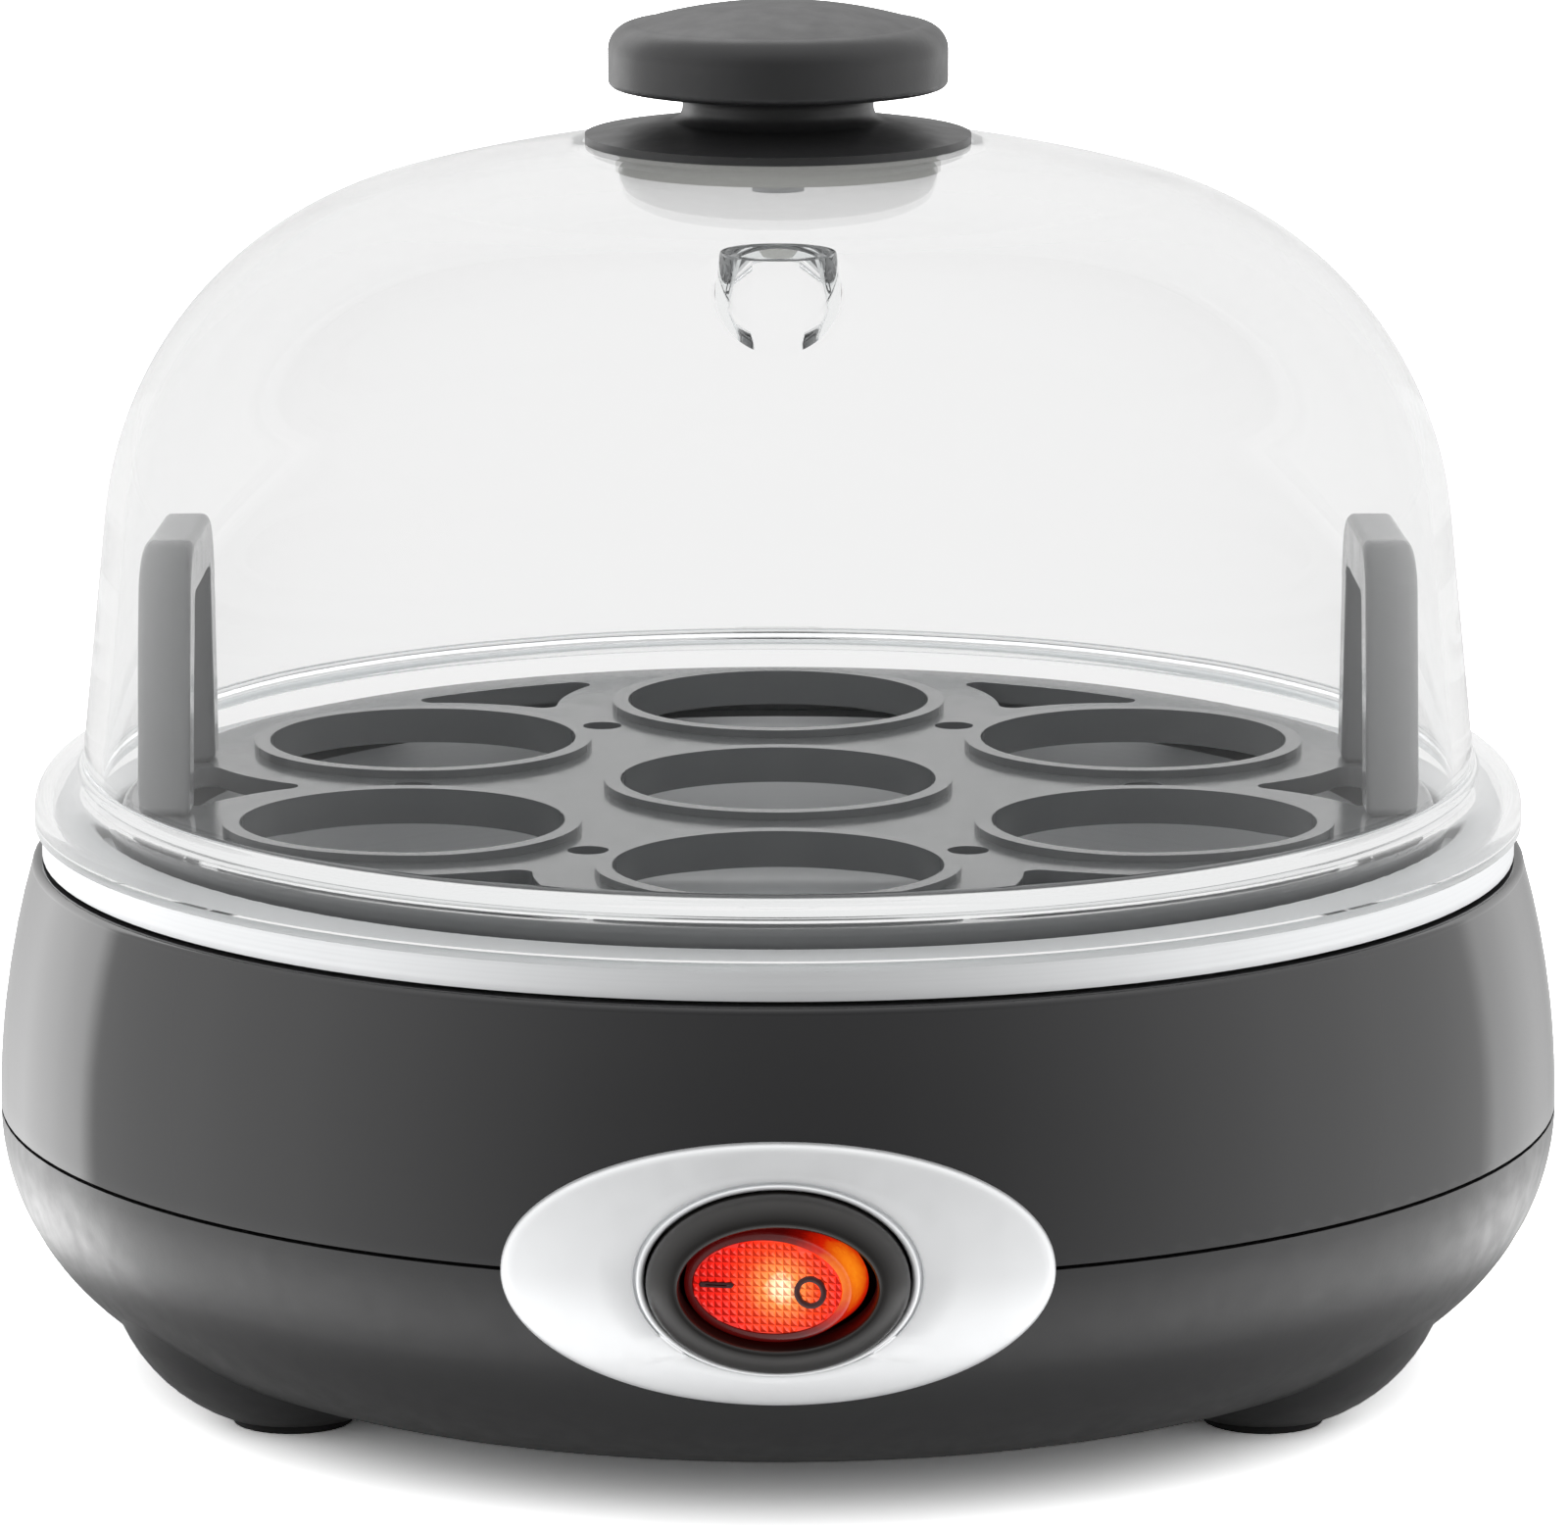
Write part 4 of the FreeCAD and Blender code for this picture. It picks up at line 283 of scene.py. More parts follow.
def spun_steel():
    """Spun and drawn stainless steel: fine turning lines round the axis."""
    made, tree = material("spun stainless steel")
    place = add(tree, "SeparateXYZ", {"Vector": add(tree, "TexCoord").outputs["Object"]})
    across = add(tree, "CombineXYZ", {"X": place.outputs["X"], "Y": place.outputs["Y"]})
    radius = add(tree, "VectorMath", {0: across.outputs["Vector"]}, operation="LENGTH")
    lines = add(tree, "CombineXYZ", {"X": radius.outputs["Value"], "Y": place.outputs["Z"]})
    turning = add(tree, "TexNoise", {"Vector": lines.outputs["Vector"], "Scale": 1 / (0.4 * MM), "Detail": 2})
    rough = add(tree, "MapRange", {
        "Value": turning.outputs["Fac"], "From Min": NOISE_LOW, "From Max": NOISE_HIGH,
        "To Min": 0.5, "To Max": 0.62})
    bump = add(tree, "Bump", {"Strength": 1.0, "Distance": 0.002 * MM, "Height": turning.outputs["Fac"]})
    shader = add(tree, "BsdfPrincipled", {
        "Base Color": (*linear("#d5d6d7"), 1), "Metallic": 1.0, "Roughness": rough.outputs["Result"],
        "Normal": bump.outputs["Normal"]})
    output(tree, shader.outputs["BSDF"])
    return made


def lit_red(name, shade, centre, stops, reach, roughness, painted_glint=0.0):
    """Translucent red polycarbonate, its glow from the lamp inside painted: hottest at a centre, then red; painted
    facet glints.
    """
    made, tree = material(name)
    place = add(tree, "TexCoord").outputs["Object"]
    away = add(tree, "VectorMath", {0: place, 1: centre}, operation="DISTANCE")
    grain = add(tree, "TexNoise", {"Vector": place, "Scale": 1 / (0.5 * MM), "Detail": 2})
    ripple = add(tree, "MapRange", {
        "Value": grain.outputs["Fac"], "To Min": -0.06 * reach, "To Max": 0.06 * reach})
    spread = add(tree, "Math", {0: away.outputs["Value"], 1: ripple.outputs["Result"]}, operation="ADD")
    share = add(tree, "Math", {0: spread.outputs["Value"], 1: reach},
                operation="DIVIDE", use_clamp=True)
    glow = add(tree, "ValToRGB", {"Fac": share.outputs["Value"]}, stops)
    # Painted glints: emission strength is raised on facets facing one given way and lowered on the rest.
    facing = add(tree, "VectorMath", {0: add(tree, "NewGeometry").outputs["Normal"], 1: PAINTED_GLINT_WAY},
                 operation="DOT_PRODUCT")
    glint_strength = add(tree, "MapRange", {"Value": facing.outputs["Value"], "From Min": 0.1, "From Max": 0.9,
                                   "To Min": 1 - 0.35 * painted_glint, "To Max": 1 + painted_glint})
    rough = add(tree, "MapRange", {"Value": grain.outputs["Fac"], "To Min": roughness - 0.08,
                                   "To Max": roughness + 0.08})
    shader = add(tree, "BsdfPrincipled", {
        "Base Color": (*shade, 1), "Roughness": rough.outputs["Result"], "IOR": 1.58,
        "Emission Color": glow.outputs["Color"], "Emission Strength": glint_strength.outputs["Result"]})
    output(tree, shader.outputs["BSDF"])
    return made


FINISHES = {
    # slot: name, colour, roughness, spread, grain in mm, relief in mm, shader values
    "bright_chrome": ("satin chrome plating", "#f2f3f4", 0.5, 0.03, 0.3, 0.001, {"Metallic": 0.7}),
    "zinc_steel": ("zinc plated steel", "#b9bcbd", 0.34, 0.08, 0.8, 0.004, {"Metallic": 1.0}),
    "cast_aluminium": ("cast aluminium", "#b4b5b6", 0.48, 0.08, 0.9, 0.02, {"Metallic": 1.0}),
    "plain_brass": ("rolled brass", "#c9a04f", 0.32, 0.08, 0.6, 0.003, {"Metallic": 1.0}),
    "matte_black_plastic": ("spark-eroded nylon", "#1c1c1d", 0.55, 0.06, 0.4, 0.01, {"IOR": 1.53}),
    "white_plastic": ("moulded white nylon", "#dcdad4", 0.45, 0.06, 0.5, 0.006, {"IOR": 1.53}),
    "brown_phenolic": ("moulded brown phenolic", "#3a2418", 0.4, 0.06, 0.5, 0.008, {"IOR": 1.6}),
    "soft_rubber": ("moulded soft rubber", "#1a1a1a", 0.75, 0.06, 0.4, 0.012, {"IOR": 1.52}),
    "white_silicone": ("moulded white silicone", "#d9d8d4", 0.6, 0.06, 0.5, 0.006, {"IOR": 1.41}),
    "heater_ceramic": ("fired steatite", "#d8d2c4", 0.65, 0.06, 0.4, 0.015, {"IOR": 1.6}),
    "glass_sleeving": ("woven glass sleeving", "#e2dfd2", 0.7, 0.08, 0.35, 0.04, {"IOR": 1.5}),
    "lamp_glass": ("lamp glass", "#ffc890", 0.1, 0.03, 2.0, 0.002, {"IOR": 1.5}),
    "black_lead": ("extruded black PVC", "#161617", 0.45, 0.06, 0.5, 0.008, {"IOR": 1.53}),
    "white_lead": ("extruded white PVC", "#d8d7d3", 0.45, 0.06, 0.5, 0.008, {"IOR": 1.53}),
    "green_lead": ("extruded green PVC", "#3f7d3a", 0.45, 0.06, 0.5, 0.008, {"IOR": 1.53}),
}


def slot_material(slot):
    """Finish of a material slot, made once."""
    if slot not in slot_material.made:
        special = {"gloss_charcoal_plastic": gloss_abs, "satin_charcoal_plastic": satin_abs,
                   "clear_plastic": clear_san, "stainless_steel": spun_steel}
        if slot in special:
            slot_material.made[slot] = special[slot]()
        elif slot == "gloss_black_plastic":
            slot_material.made[slot] = surface(
                "gloss black nylon", palette().switch_frame, 0.34, 0.04, 0.6, 0.002, IOR=1.53)
        else:
            name, code, rough, spread, grain, relief, values = FINISHES[slot]
            slot_material.made[slot] = surface(name, linear(code), rough, spread, grain, relief, **values)
    return slot_material.made[slot]


slot_material.made = {}


def paint(thing, finish):
    """Gives an object one material."""
    thing.data.materials.clear()
    thing.data.materials.append(finish)


def finish_nodes(*nodes):
    """Gives carried-over solids the finish of their material slots."""
    for node in nodes:
        paint(frame["nodes"][node], slot_material(SLOTS[node]))


# ---------------------------------------------------------------- mesh helpers

def mesh_piece(name, points, faces, finish, body, sharp=35):
    """Object of a mesh given in metres, smooth but for edges sharper than an angle, riding on a body."""
    mesh = bpy.data.meshes.new(name)
    mesh.from_pydata(points, [], faces)
    mesh.validate()
    mesh.shade_smooth()
    mesh.set_sharp_from_angle(angle=math.radians(sharp))
    made = bpy.data.objects.new(name, mesh)
    bpy.context.scene.collection.objects.link(made)
    paint(made, finish)
    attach(made, body)
    return made


def bridged(rings, closed=False):
    """Quads between rings of equal length; closed joins the last ring to the first."""
    count = len(rings[0])
    pairs = [(k, k + 1) for k in range(len(rings) - 1)] + ([(len(rings) - 1, 0)] if closed else [])
    return [(low * count + i, low * count + (i + 1) % count, high * count + (i + 1) % count, high * count + i)
            for low, high in pairs for i in range(count)]


def skin_radius(level):
    """Radius of the housings at a level in mm."""
    rise = level - BELLY_LEVEL
    if rise >= 0:
        return BELLY - BARREL + math.sqrt(BARREL ** 2 - rise ** 2)
    return BELLY - LOWER_ROUND + math.sqrt(LOWER_ROUND ** 2 - rise ** 2)


def turns(count=ROUND_STEPS):
    return [2 * math.pi * i / count for i in range(count)]


# ---------------------------------------------------------------- pieces

class COOKER_OT_housing(bpy.types.Operator):
    """Finishes of the housings, the feet, the cord gland and the screws"""
    bl_idname = "cooker.housing"
    bl_label = "Housing"

    def execute(self, context):
        finish_nodes(*HOUSING_NODES)
        return {"FINISHED"}


class COOKER_OT_pan(bpy.types.Operator):
    """Finishes of the heating pan, its gasket and its fasteners"""
    bl_idname = "cooker.pan"
    bl_label = "Heating pan"

    def execute(self, context):
        finish_nodes(*PAN_NODES)
        return {"FINISHED"}


class COOKER_OT_tray(bpy.types.Operator):
    """Finish of the egg tray and its two handles"""
    bl_idname = "cooker.tray"
    bl_label = "Egg tray"

    def execute(self, context):
        finish = tray_pp()
        for node in ("egg_tray", "tray_handle_left", "tray_handle_right"):
            paint(frame["nodes"][node], finish)
        return {"FINISHED"}


def arc(centre, radius, start, end, steps):
    """Points of an arc in mm, by angles in degrees from upright."""
    angles = [math.radians(start + (end - start) * i / steps) for i in range(steps + 1)]
    return [(centre[0] + radius * math.sin(t), centre[1] + radius * math.cos(t)) for t in angles]


def line(start, end, steps):
    return [tuple(a + (b - a) * i / steps for a, b in zip(start, end)) for i in range(1, steps)]


def lid_sections():
    """Outside of the lid from its screw hole down to its lip, and its inside back up, in mm."""
    outside = [(LID_HOLE, LID_TOP), (LID_FLAT, LID_TOP)]
    outside += arc(CROWN_CENTRE, CROWN_OUTER, 7.76, ROUND_START, 16)
    outside += arc(ROUND_CENTRE, ROUND_OUTER, ROUND_START, ROUND_END, 48)[1:]
    outside += line(outside[-1], (75.6, 67.2), 12) + arc((76.0, 67.2), 0.4, -90, -180, 5)
    outside += arc((76.0, 61.9), 4.9, 0, 90, 24)[1:] + arc((80.7, 60.4), 0.2, 90, 180, 4)
    inside = arc((80.55, 60.35), 0.15, 180, 270, 4) + [(80.4, 61.05), (78.85, 61.05)]
    inside += arc((76.0, 61.9), 2.7, 90, 0, 18) + [(74.6, 64.6)] + arc((74.0, 65.0), 0.4, 180, 270, 5)
    inside += line((73.6, 65.0), (70.66, 93.68), 12)
    inside += arc(ROUND_CENTRE, ROUND_INNER, ROUND_END, ROUND_START, 48)
    inside += arc(CROWN_CENTRE, CROWN_INNER, ROUND_START, 7.04, 16)[1:]
    inside += [(LID_FLAT, LID_UNDER), (LID_HOLE, LID_UNDER)]
    return outside, inside


class COOKER_OT_lid(bpy.types.Operator):
    """Clear dome with its steam spout, and the finishes of its knob, washer and screw"""
    bl_idname = "cooker.lid"
    bl_label = "Lid"

    def execute(self, context):
        self.dome()
        paint(frame["nodes"]["lid_knob"], knob_abs())
        finish_nodes("knob_washer", "knob_screw")
        return {"FINISHED"}

    def dome(self):
        outside, inside = lid_sections()
        mesh = bmesh.new()
        rings = [[mesh.verts.new((r * math.cos(t), r * math.sin(t), z)) for t in turns(2 * ROUND_STEPS)]
                 for r, z in outside + inside]
        for k, ring in enumerate(rings):
            hole = HOLE_OUTER if k < len(outside) else HOLE_INNER
            self.strip(mesh, ring, rings[(k + 1) % len(rings)], hole)
        spout = [[mesh.verts.new(point) for point in ring] for ring in self.spout()]
        for low, high in zip(spout, spout[1:]):
            self.strip(mesh, low, high)
        outer = {vert for ring in rings[:len(outside)] for vert in ring} | set(spout[0])
        rims = [edge for edge in mesh.edges if len(edge.link_faces) == 1]
        for side in (True, False):
            loops = [edge for edge in rims if (edge.verts[0] in outer) == side]
            bmesh.ops.bridge_loops(mesh, edges=loops)
        bmesh.ops.delete(mesh, geom=[vert for vert in mesh.verts if not vert.link_faces], context="VERTS")
        bmesh.ops.recalc_face_normals(mesh, faces=mesh.faces)
        mesh.verts.index_update()
        points = [vert.co * MM for vert in mesh.verts]
        faces = [[vert.index for vert in face.verts] for face in mesh.faces]
        mesh.free()
        finish = slot_material("clear_plastic")
        dome = mesh_piece("clear_dome", points, faces, finish, "lid", 50)
        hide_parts("lid_dome")

    @staticmethod
    def strip(mesh, low, high, hole=0.0):
        """Quads between two rings, but for those within the spout's hole."""
        for i in range(len(low)):
            after = (i + 1) % len(low)
            face = (low[i], low[after], high[after], high[i])
            if all(math.hypot(vert.co.x, vert.co.y + SPOUT_OUT) >= hole for vert in face):
                mesh.faces.new(face)

    @staticmethod
    def spout():
        """Rings of the steam spout in mm, from the outside of the dome over the top and down to its inside."""
        def at(turn, reach, round_radius):
            x, y = reach * math.cos(turn), reach * math.sin(turn) - SPOUT_OUT
            across = math.hypot(x, y) - ROUND_CENTRE[0]
            return x, y, ROUND_CENTRE[1] + math.sqrt(round_radius ** 2 - across ** 2)

        def level(reach, height):
            return [(reach * math.cos(t), reach * math.sin(t) - SPOUT_OUT, height) for t in turns(SPOUT_STEPS)]

        roots, fillets, walls = [], [], []
        for turn in turns(SPOUT_STEPS):
            reach = SPOUT_RADIUS
            for _ in range(8):
                height = at(turn, reach, ROUND_OUTER)[2]
                reach = SPOUT_RADIUS + SPOUT_SLOPE * (SPOUT_TOP - height)
            roots.append(at(turn, reach + 0.7, ROUND_OUTER))
            fillets.append((*at(turn, reach + 0.18, ROUND_OUTER)[:2], height + 0.12))
            rise = min(height + 0.7, SPOUT_TOP - 0.4)
            foot = SPOUT_RADIUS + SPOUT_SLOPE * (SPOUT_TOP - rise)
            walls.append((*at(turn, foot, ROUND_OUTER)[:2], rise))
        bore = SPOUT_RADIUS - SPOUT_WALL
        rim = [level(SPOUT_RADIUS, SPOUT_TOP - 0.25), level(SPOUT_RADIUS - 0.1, SPOUT_TOP - 0.07),
               level(SPOUT_RADIUS - 0.25, SPOUT_TOP), level(bore + 0.25, SPOUT_TOP),
               level(bore + 0.1, SPOUT_TOP - 0.07), level(bore, SPOUT_TOP - 0.25)]
        mouth = [[at(turn, reach, ROUND_INNER) for turn in turns(SPOUT_STEPS)]
                 for reach in (bore + 0.4, bore + 0.9, SKIRT_INNER)]
        skirt = [at(turn, SKIRT_OUTER, ROUND_OUTER) for turn in turns(SPOUT_STEPS)]
        return [skirt, roots, fillets, walls, *rim, *mouth]


class COOKER_OT_heater(bpy.types.Operator):
    """Finishes of the heater, the thermostat, the fuse and the wiring inside the base"""
    bl_idname = "cooker.heater"
    bl_label = "Heater and wiring"

    def execute(self, context):
        shown = {*HOUSING_NODES, *PAN_NODES, "switch_bezel", "switch_frame"}
        finish_nodes(*(node for node in BODIES["base"] if node not in shown))
        finish_nodes(*BODIES["switch_contact"])
        return {"FINISHED"}


def bezel_ring(half_width, half_height, proud, least=0.0):
    """Oval ring of the bezel in metres: proud of the housings, least from the axis and over the case."""
    ring = []
    for turn in turns(2 * ROUND_STEPS):
        across, level = half_width * math.cos(turn), BELLY_LEVEL + half_height * math.sin(turn)
        reach = skin_radius(level) + proud
        out = max(math.sqrt(reach ** 2 - across ** 2), least)
        if math.hypot(abs(across) - CASE_CORNER[0], level - BELLY_LEVEL - CASE_CORNER[1]) < CASE_LIFT:
            out = max(out, CASE_FRONT)
        ring.append((across * MM, -out * MM, level * MM))
    return ring


class COOKER_OT_bezel(bpy.types.Operator):
    """Oval switch bezel with rounded edge, shadow groove and bright lip, and the switch frame's finish"""
    bl_idname = "cooker.bezel"
    bl_label = "Switch bezel and frame"

    def execute(self, context):
        low, round_over, top = LIP_REACH, LIP_REACH + 0.5, LIP_REACH + 0.65
        profile = [  # half width, half height, proud of the housing, least from the axis, in mm
            (28.1, 14.05, 0.0), (28.1, 14.05, 0.55), (28.0, 13.95, 0.86), (27.75, 13.7, 1.07),
            (27.4, 13.35, 1.16), (26.9, 12.95, 1.2), (23.0, 12.1, 1.22), (18.5, 11.2, 1.22),
            (14.9, 10.45, 1.2), (14.7, 10.3, 1.1), (14.62, 10.24, 0.6), (14.36, 10.06, 0.6, low),
            (14.28, 10.0, 1.25, round_over), (14.12, 9.9, 1.42, top), (13.78, 9.62, 1.42, top),
            (13.62, 9.5, 1.25, round_over), (13.55, 9.42, 0.4, low), (13.5, 9.4, -2.2),
            (24.5, 10.45, -2.2), (24.5, 10.45, 0.0),
        ]
        rings = [bezel_ring(*row) for row in profile]
        points = [point for ring in rings for point in ring]
        faces = [tuple(reversed(face)) for face in bridged(rings, closed=True)]
        finish = slot_material("bright_chrome")
        bezel = mesh_piece("oval_bezel", points, faces, finish, "base", 65)
        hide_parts("switch_bezel")
        finish_nodes("switch_frame")
        self.frame_face()
        return {"FINISHED"}

    def frame_face(self):
        """Domed face of the switch frame, down into its mouth."""
        profile = [  # half width, half height, in front of the axis, in mm
            (13.32, 9.27, 85.4), (13.32, 9.27, 86.5), (13.2, 9.15, 87.2), (12.9, 8.9, 87.75),
            (12.4, 8.45, 88.3), (11.8, 7.9, 88.75), (11.2, 7.35, 89.05), (10.7, 6.9, 89.18),
            (10.3, 6.55, 89.15), (10.1, 6.36, 88.95), (10.02, 6.3, 88.5), (9.98, 6.26, 86.0),
            (10.6, 6.8, 86.0),
        ]
        rings = [[(wide * math.cos(t) * MM, -out * MM, (BELLY_LEVEL + high * math.sin(t)) * MM)
                  for t in turns(2 * ROUND_STEPS)] for wide, high, out in profile]
        points = [point for ring in rings for point in ring]
        faces = [tuple(reversed(face)) for face in bridged(rings, closed=True)]
        finish = slot_material("gloss_black_plastic")
        mesh_piece("frame_face", points, faces, finish, "base", 60)


def face_level(across):
    """Rocker face in front of the pivot, in mm: a shallow vee with a softened crease."""
    return ROCKER_CREASE + ROCKER_SLOPE * (math.hypot(across, CREASE_SOFT) - CREASE_SOFT)


def rocker_oval(level):
    """Half width and half height of the rocker's wall at a level in front of the pivot, in mm."""
    for low, high in ((ROCKER_FOOT, ROCKER_WAIST), (ROCKER_WAIST, ROCKER_FACE)):
        if level <= high[0] or high is ROCKER_FACE:
            share = (level - low[0]) / (high[0] - low[0])
            return low[1] + share * (high[1] - low[1]), low[2] + share * (high[2] - low[2])


def seated(points):
    """Rocker points given as across, out and up in mm about the pivot, tilted into place in metres."""
    turn = Matrix.Translation(PIVOT) @ Matrix.Rotation(ROCKER_TILT, 4, "Z")
    return [turn @ (Vector((across, -out, up)) * MM) for across, out, up in points]


def rim_ring(inset, drop):
    """Ring of the rocker's rim, inset from the wall and below the face, in mm."""
    ring = []
    for turn in turns():
        level = ROCKER_CREASE
        for _ in range(4):
            wide, high = rocker_oval(level)
            across = (wide - inset) * math.cos(turn)
            level = face_level(across)
        ring.append((across, level - drop, (high - inset) * math.sin(turn)))
    return ring


def level_ring(level, wide, high):
    return [(wide * math.cos(turn), level, high * math.sin(turn)) for turn in turns()]


def rod(start, end, radius, count=32):
    """Closed round rod between two points, as points and faces."""
    axis = (Vector(end) - Vector(start)).normalized()
    side = axis.orthogonal()
    other = axis.cross(side)
    points = [tuple(Vector(at) + radius * (math.cos(t) * side + math.sin(t) * other))
              for at in (start, end) for t in turns(count)]
    faces = bridged([points[:count], points[count:]])
    return points, faces + [tuple(reversed(range(count))), tuple(range(count, 2 * count))]


class COOKER_OT_rocker(bpy.types.Operator):
    """Lit red rocker: body with rounded rim, prismatic lens and its two marks"""
    bl_idname = "cooker.rocker"
    bl_label = "Lit rocker"

    def execute(self, context):
        sizes = context.scene.cooker_sizes
        self.body(sizes)
        self.lens(sizes)
        self.marks(sizes)
        finish_nodes("rocker_plunger")
        return {"FINISHED"}

    def body(self, sizes):
        """Wall with a rounded rim and a pocket for the lens, pivot pin and plunger sleeve."""
        round_over = sizes.rim_round / MM
        rings = [level_ring(*ROCKER_FOOT), level_ring(*ROCKER_WAIST)]
        for step in range(7):
            turn = math.pi / 2 * step / 6
            rings.append(rim_ring(round_over * (1 - math.cos(turn)), round_over * (1 - math.sin(turn))))
        rim = sizes.rim_width / MM
        rings += [rim_ring(rim, 0.0), rim_ring(rim + POCKET_DRAFT, POCKET_DEPTH)]
        points = [point for ring in rings for point in ring]
        faces = bridged(rings)
        last = len(points) - ROUND_STEPS
        faces += [tuple(reversed(range(ROUND_STEPS)))]
        points.append((0, face_level(0) - POCKET_DEPTH, 0))
        faces += [(last + i, last + (i + 1) % ROUND_STEPS, len(points) - 1) for i in range(ROUND_STEPS)]
        for start, end, radius in ROCKER_RODS:
            more, ends = rod(start, end, radius)
            faces += [tuple(len(points) + i for i in face) for face in ends]
            points += more
        # Painted glow: the wall's emission is brightest round a centre right of the lens's, so its right side
        # glows most.
        lamp = seated([WALL_GLOW_CENTRE])[0]
        finish = lit_red("lit red polycarbonate wall", linear("#3a0403"), lamp, [
            (0.0, linear("#ffc832")), (0.3, linear("#f88214")), (0.55, linear("#c81c04")),
            (0.8, linear("#6c0602")), (1.0, linear("#400303"))], WALL_GLOW_REACH * MM, 0.3)
        body = mesh_piece("rocker_body", seated(points), faces, finish, "switch_rocker", 40)
        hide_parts("rocker")

    def lens(self, sizes):
        """Thin lens of small square prisms, drawn in to its oval edge."""
        rim = sizes.rim_width / MM + LENS_CLEAR
        pitch, rise = sizes.prism_pitch / MM, sizes.prism_height / MM
        wide, high = (half - rim for half in rocker_oval(face_level(LENS_ACROSS)))
        columns, rows = math.ceil(wide / pitch), math.ceil(high / pitch)
        points, index, faces = [], {}, []

        def corner(across, up, lift):
            out = math.hypot(across / wide, up / high)
            if out > 1:
                across, up, lift = across / out, up / out, 0.0
            key = (round(across, 4), round(up, 4), lift > 0)
            if key not in index:
                index[key] = len(points)
                points.append((across, face_level(across) - LENS_SINK + lift, up))
            return index[key]

        for column in range(-columns, columns):
            for row in range(-rows, rows):
                ring = [(column * pitch, row * pitch), ((column + 1) * pitch, row * pitch),
                        ((column + 1) * pitch, (row + 1) * pitch), (column * pitch, (row + 1) * pitch)]
                if all(math.hypot(u / wide, w / high) >= 1 for u, w in ring):
                    continue
                base = [corner(u, w, 0.0) for u, w in ring]
                tip = corner((column + 0.5) * pitch, (row + 0.5) * pitch, rise)
                for i in range(4):
                    face = (base[i], base[(i + 1) % 4], tip)
                    if len(set(face)) == 3:
                        faces.append(face)
        edges = {}  # kept in order, so that each run gives the same faces
        for face in faces:
            for i in range(3):
                edges[(face[i], face[(i + 1) % 3])] = True
        border = [edge for edge in edges if (edge[1], edge[0]) not in edges]
        under = len(points)
        points += [(across, out - LENS_WALL, up) for across, out, up in points]
        faces += [tuple(i + under for i in reversed(face)) for face in faces]
        faces += [(b, a, a + under, b + under) for a, b in border]
        # Painted glow: the lens's emission runs from near white at its centre out to red at its edge.
        lamp = seated([LENS_GLOW_CENTRE])[0]
        finish = lit_red("lit red polycarbonate prisms", palette().rocker, lamp, [
            (0.0, linear("#fff6ea")), (0.1, linear("#fbdcb4")), (0.24, linear("#e8783a")),
            (0.45, linear("#d23a18")), (0.7, linear("#c01c10")), (1.0, linear("#a8120c"))],
            LENS_GLOW_REACH * MM, 0.2, 1.1)
        mesh_piece("rocker_lens", seated(points), faces, finish, "switch_rocker", 1)

    def marks(self, sizes):
        """Ring and bar marks raised on the lens."""
        finish = surface("printed dark red ink", palette().marks, 0.4, 0.05, 0.3, 0.004, IOR=1.5)
        half, lift = sizes.mark_width / MM / 2, sizes.prism_height / MM - LENS_SINK
        top = lift + sizes.mark_height / MM
        edge = top - MARK_ROUND

        def band(name, inner, outer):
            """Raised mark between two outlines of across and up points."""
            rings = [[(u, face_level(u) + v, w) for u, w in outline]
                     for outline, v in ((outer, -MARK_SINK), (outer, edge), (self.shrunk(outer, inner), top),
                                        (self.shrunk(inner, outer), top), (inner, edge), (inner, -MARK_SINK))]
            points = [point for ring in rings for point in ring]
            faces = bridged(rings, closed=True)
            mesh_piece(name, seated(points), faces, finish, "switch_rocker", 50)

        (across, up), ring = RING_PLACE, sizes.ring_radius / MM
        band("ring_mark", *([(across + r * math.cos(t), r * math.sin(t) + up) for t in turns(64)]
                            for r in (ring - half, ring + half)))
        (across, up), straight = BAR_PLACE, sizes.bar_length / MM / 2 - half
        outline = [(across + straight * math.copysign(1, math.cos(t + 1e-6)) + half * math.cos(t),
                    half * math.sin(t) + up) for t in turns(48)]
        core = [(across + BAR_CORE[0] * (u - across), up + BAR_CORE[1] * (w - up)) for u, w in outline]
        band("bar_mark", core, outline)

    @staticmethod
    def shrunk(outline, towards):
        """Outline moved a little towards another."""
        return [(u + MARK_TAPER * (a - u), w + MARK_TAPER * (b - w))
                for (u, w), (a, b) in zip(outline, towards)]


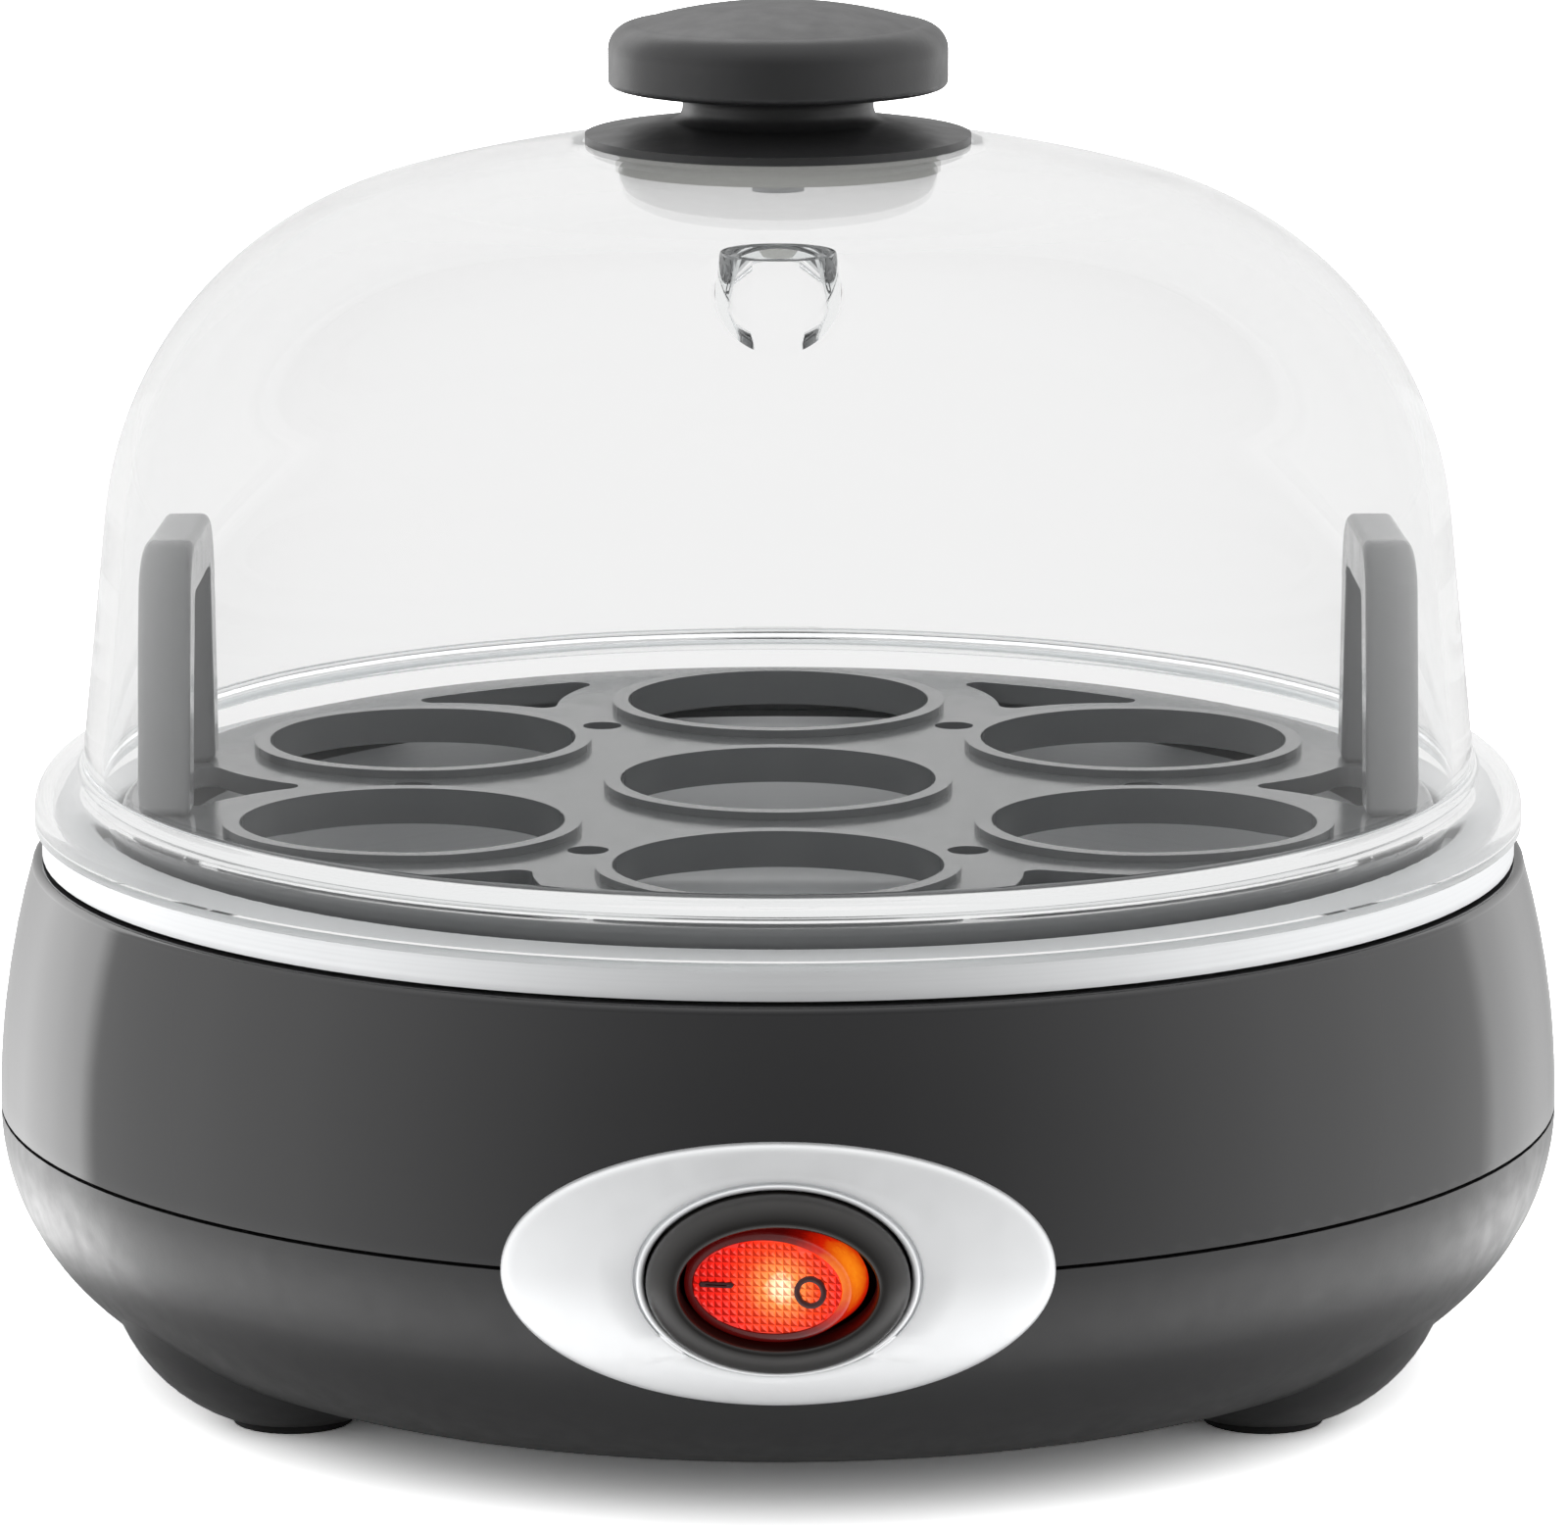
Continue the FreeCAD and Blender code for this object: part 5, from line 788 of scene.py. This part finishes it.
class COOKER_OT_stage(bpy.types.Operator):
    """White floor, soft studio light and the camera"""
    bl_idname = "cooker.stage"
    bl_label = "Studio"

    def execute(self, context):
        self.floor(context)
        self.world(context)
        self.camera(context)
        context.scene.view_settings.view_transform = "Standard"
        return {"FINISHED"}

    def floor(self, context):
        """White floor that keeps shadows; mirrored rays pass it and meet the studio round the object."""
        count, reach = 64, 4.0
        points = [(reach * math.cos(t), reach * math.sin(t), 0.0) for t in turns(count)]
        mesh = bpy.data.meshes.new("studio_floor")
        mesh.from_pydata(points, [], [tuple(range(count))])
        made = bpy.data.objects.new("studio_floor", mesh)
        context.scene.collection.objects.link(made)
        paper, tree = material("white studio paper")
        rays = add(tree, "LightPath")
        clear, mirror = self.kinds_of_ray(tree, rays)
        level = PAPER_LIT
        for kind, bright in ((rays.outputs["Is Camera Ray"], PAPER_SEEN), (mirror, PAPER_MIRROR),
                             (clear, PAPER_BEHIND)):
            level = add(tree, "Math", {0: kind, 1: bright - PAPER_LIT, 2: level},
                        operation="MULTIPLY_ADD").outputs["Value"]
        white = add(tree, "CombineColor", {key: level for key in ("Red", "Green", "Blue")})
        matt = add(tree, "BsdfDiffuse", {"Color": white.outputs["Color"]})
        through = add(tree, "BsdfTransparent")
        away = add(tree, "VectorMath", {0: add(tree, "TexCoord").outputs["Object"]}, operation="LENGTH")
        far = add(tree, "MapRange", {"Value": away.outputs["Value"],
                                     "From Min": FLOOR_NEAR, "From Max": FLOOR_FAR})
        mirrored = add(tree, "Math", {0: mirror, 1: far.outputs["Result"]}, operation="MULTIPLY")
        mixed = add(tree, "MixShader", {"Fac": mirrored.outputs["Value"], 1: matt.outputs["BSDF"],
                                        2: through.outputs["BSDF"]})
        output(tree, mixed.outputs["Shader"])
        paint(made, paper)

    @staticmethod
    def kinds_of_ray(tree, rays):
        """1 for rays from the clear lid, through it or off its face, and 1 for rays mirrored elsewhere."""
        clear = add(tree, "Math", {0: rays.outputs["Is Transmission Ray"], 1: rays.outputs["Is Singular Ray"]},
                    operation="MAXIMUM").outputs["Value"]
        mirror = add(tree, "Math", {0: rays.outputs["Is Glossy Ray"], 1: clear},
                     operation="SUBTRACT", use_clamp=True)
        return clear, mirror.outputs["Value"]

    def world(self, context):
        """Even white, a little greyer through the lid; mirrored dark in front, with a bright panel each side."""
        world = bpy.data.worlds.new("studio")
        context.scene.world = world
        world.use_nodes = True
        tree = world.node_tree
        tree.nodes.clear()
        turn = (math.sin(STUDIO_TURN), math.cos(STUDIO_TURN), 0)
        place = add(tree, "TexCoord").outputs["Generated"]
        ahead = add(tree, "VectorMath", {0: place, 1: turn}, operation="DOT_PRODUCT")
        angle = add(tree, "MapRange", {"Value": ahead.outputs["Value"], "From Min": -1.0, "From Max": 1.0})
        top = max(level for _, level in STUDIO_LEFT)
        ramps = []
        for levels in (STUDIO_LEFT, STUDIO_RIGHT):
            stops = [((1 - math.cos(math.radians(away))) / 2, (level / top,) * 3) for away, level in levels]
            ramps.append(add(tree, "ValToRGB", {"Fac": angle.outputs["Result"]}, stops).outputs["Color"])
        parts = add(tree, "SeparateXYZ", {"Vector": place}).outputs
        side = add(tree, "MapRange", {"Value": parts["X"], "From Min": -SIDE_BLEND, "From Max": SIDE_BLEND})
        ring = add(tree, "MixRGB", {"Fac": side.outputs["Result"], "Color1": ramps[0], "Color2": ramps[1]})
        below = add(tree, "MapRange", {"Value": parts["Z"], "From Min": FLOOR_BEGINS, "From Max": FLOOR_FULL,
                                       "To Min": top, "To Max": top * FLOOR_GAIN})
        back = add(tree, "Background", {"Color": ring.outputs["Color"], "Strength": below.outputs["Result"]})
        rays = add(tree, "LightPath")
        clear, mirror = self.kinds_of_ray(tree, rays)
        level = add(tree, "MapRange", {"Value": clear, "To Min": 1.0, "To Max": PAPER_BEHIND})
        even = add(tree, "Background", {"Color": (1, 1, 1, 1), "Strength": level.outputs["Result"]})
        mixed = add(tree, "MixShader", {"Fac": mirror, 1: even.outputs["Background"],
                                        2: back.outputs["Background"]})
        add(tree, "OutputWorld", {"Surface": mixed.outputs["Shader"]})

    def camera(self, context):
        lens = bpy.data.cameras.new("photo_camera")
        lens.sensor_fit, lens.sensor_width = "HORIZONTAL", CAMERA_SENSOR
        lens.lens, lens.shift_x = CAMERA_LENS, CAMERA_SHIFT
        made = bpy.data.objects.new("photo_camera", lens)
        context.scene.collection.objects.link(made)
        made.location = CAMERA_PLACE
        made.rotation_euler = (Vector(CAMERA_AIM) - made.location).to_track_quat("-Z", "Y").to_euler()
        context.scene.camera = made


class COOKER_PT_panel(bpy.types.Panel):
    """Pieces of the egg cooker, their colours and sizes"""
    bl_idname = "COOKER_PT_panel"
    bl_label = "Egg cooker"
    bl_space_type = "VIEW_3D"
    bl_region_type = "UI"
    bl_category = "Egg cooker"

    def draw(self, context):
        for operator in OPERATORS:
            self.layout.operator(operator.bl_idname)
        for group in (context.scene.cooker_colours, context.scene.cooker_sizes):
            for name in group.__annotations__:
                self.layout.prop(group, name)


OPERATORS = (COOKER_OT_housing, COOKER_OT_pan, COOKER_OT_tray, COOKER_OT_lid, COOKER_OT_heater, COOKER_OT_bezel,
             COOKER_OT_rocker, COOKER_OT_stage)
CLASSES = (CookerColours, CookerSizes, *OPERATORS, COOKER_PT_panel)


def register():
    for cls in CLASSES:
        bpy.utils.register_class(cls)
    bpy.types.Scene.cooker_colours = bpy.props.PointerProperty(type=CookerColours)
    bpy.types.Scene.cooker_sizes = bpy.props.PointerProperty(type=CookerSizes)


def unregister():
    del bpy.types.Scene.cooker_sizes
    del bpy.types.Scene.cooker_colours
    for cls in reversed(CLASSES):
        bpy.utils.unregister_class(cls)


def main():
    register()
    for piece in ("housing", "pan", "tray", "lid", "heater", "bezel", "rocker", "stage"):
        getattr(bpy.ops.cooker, piece)()


if __name__ == "__main__":
    main()
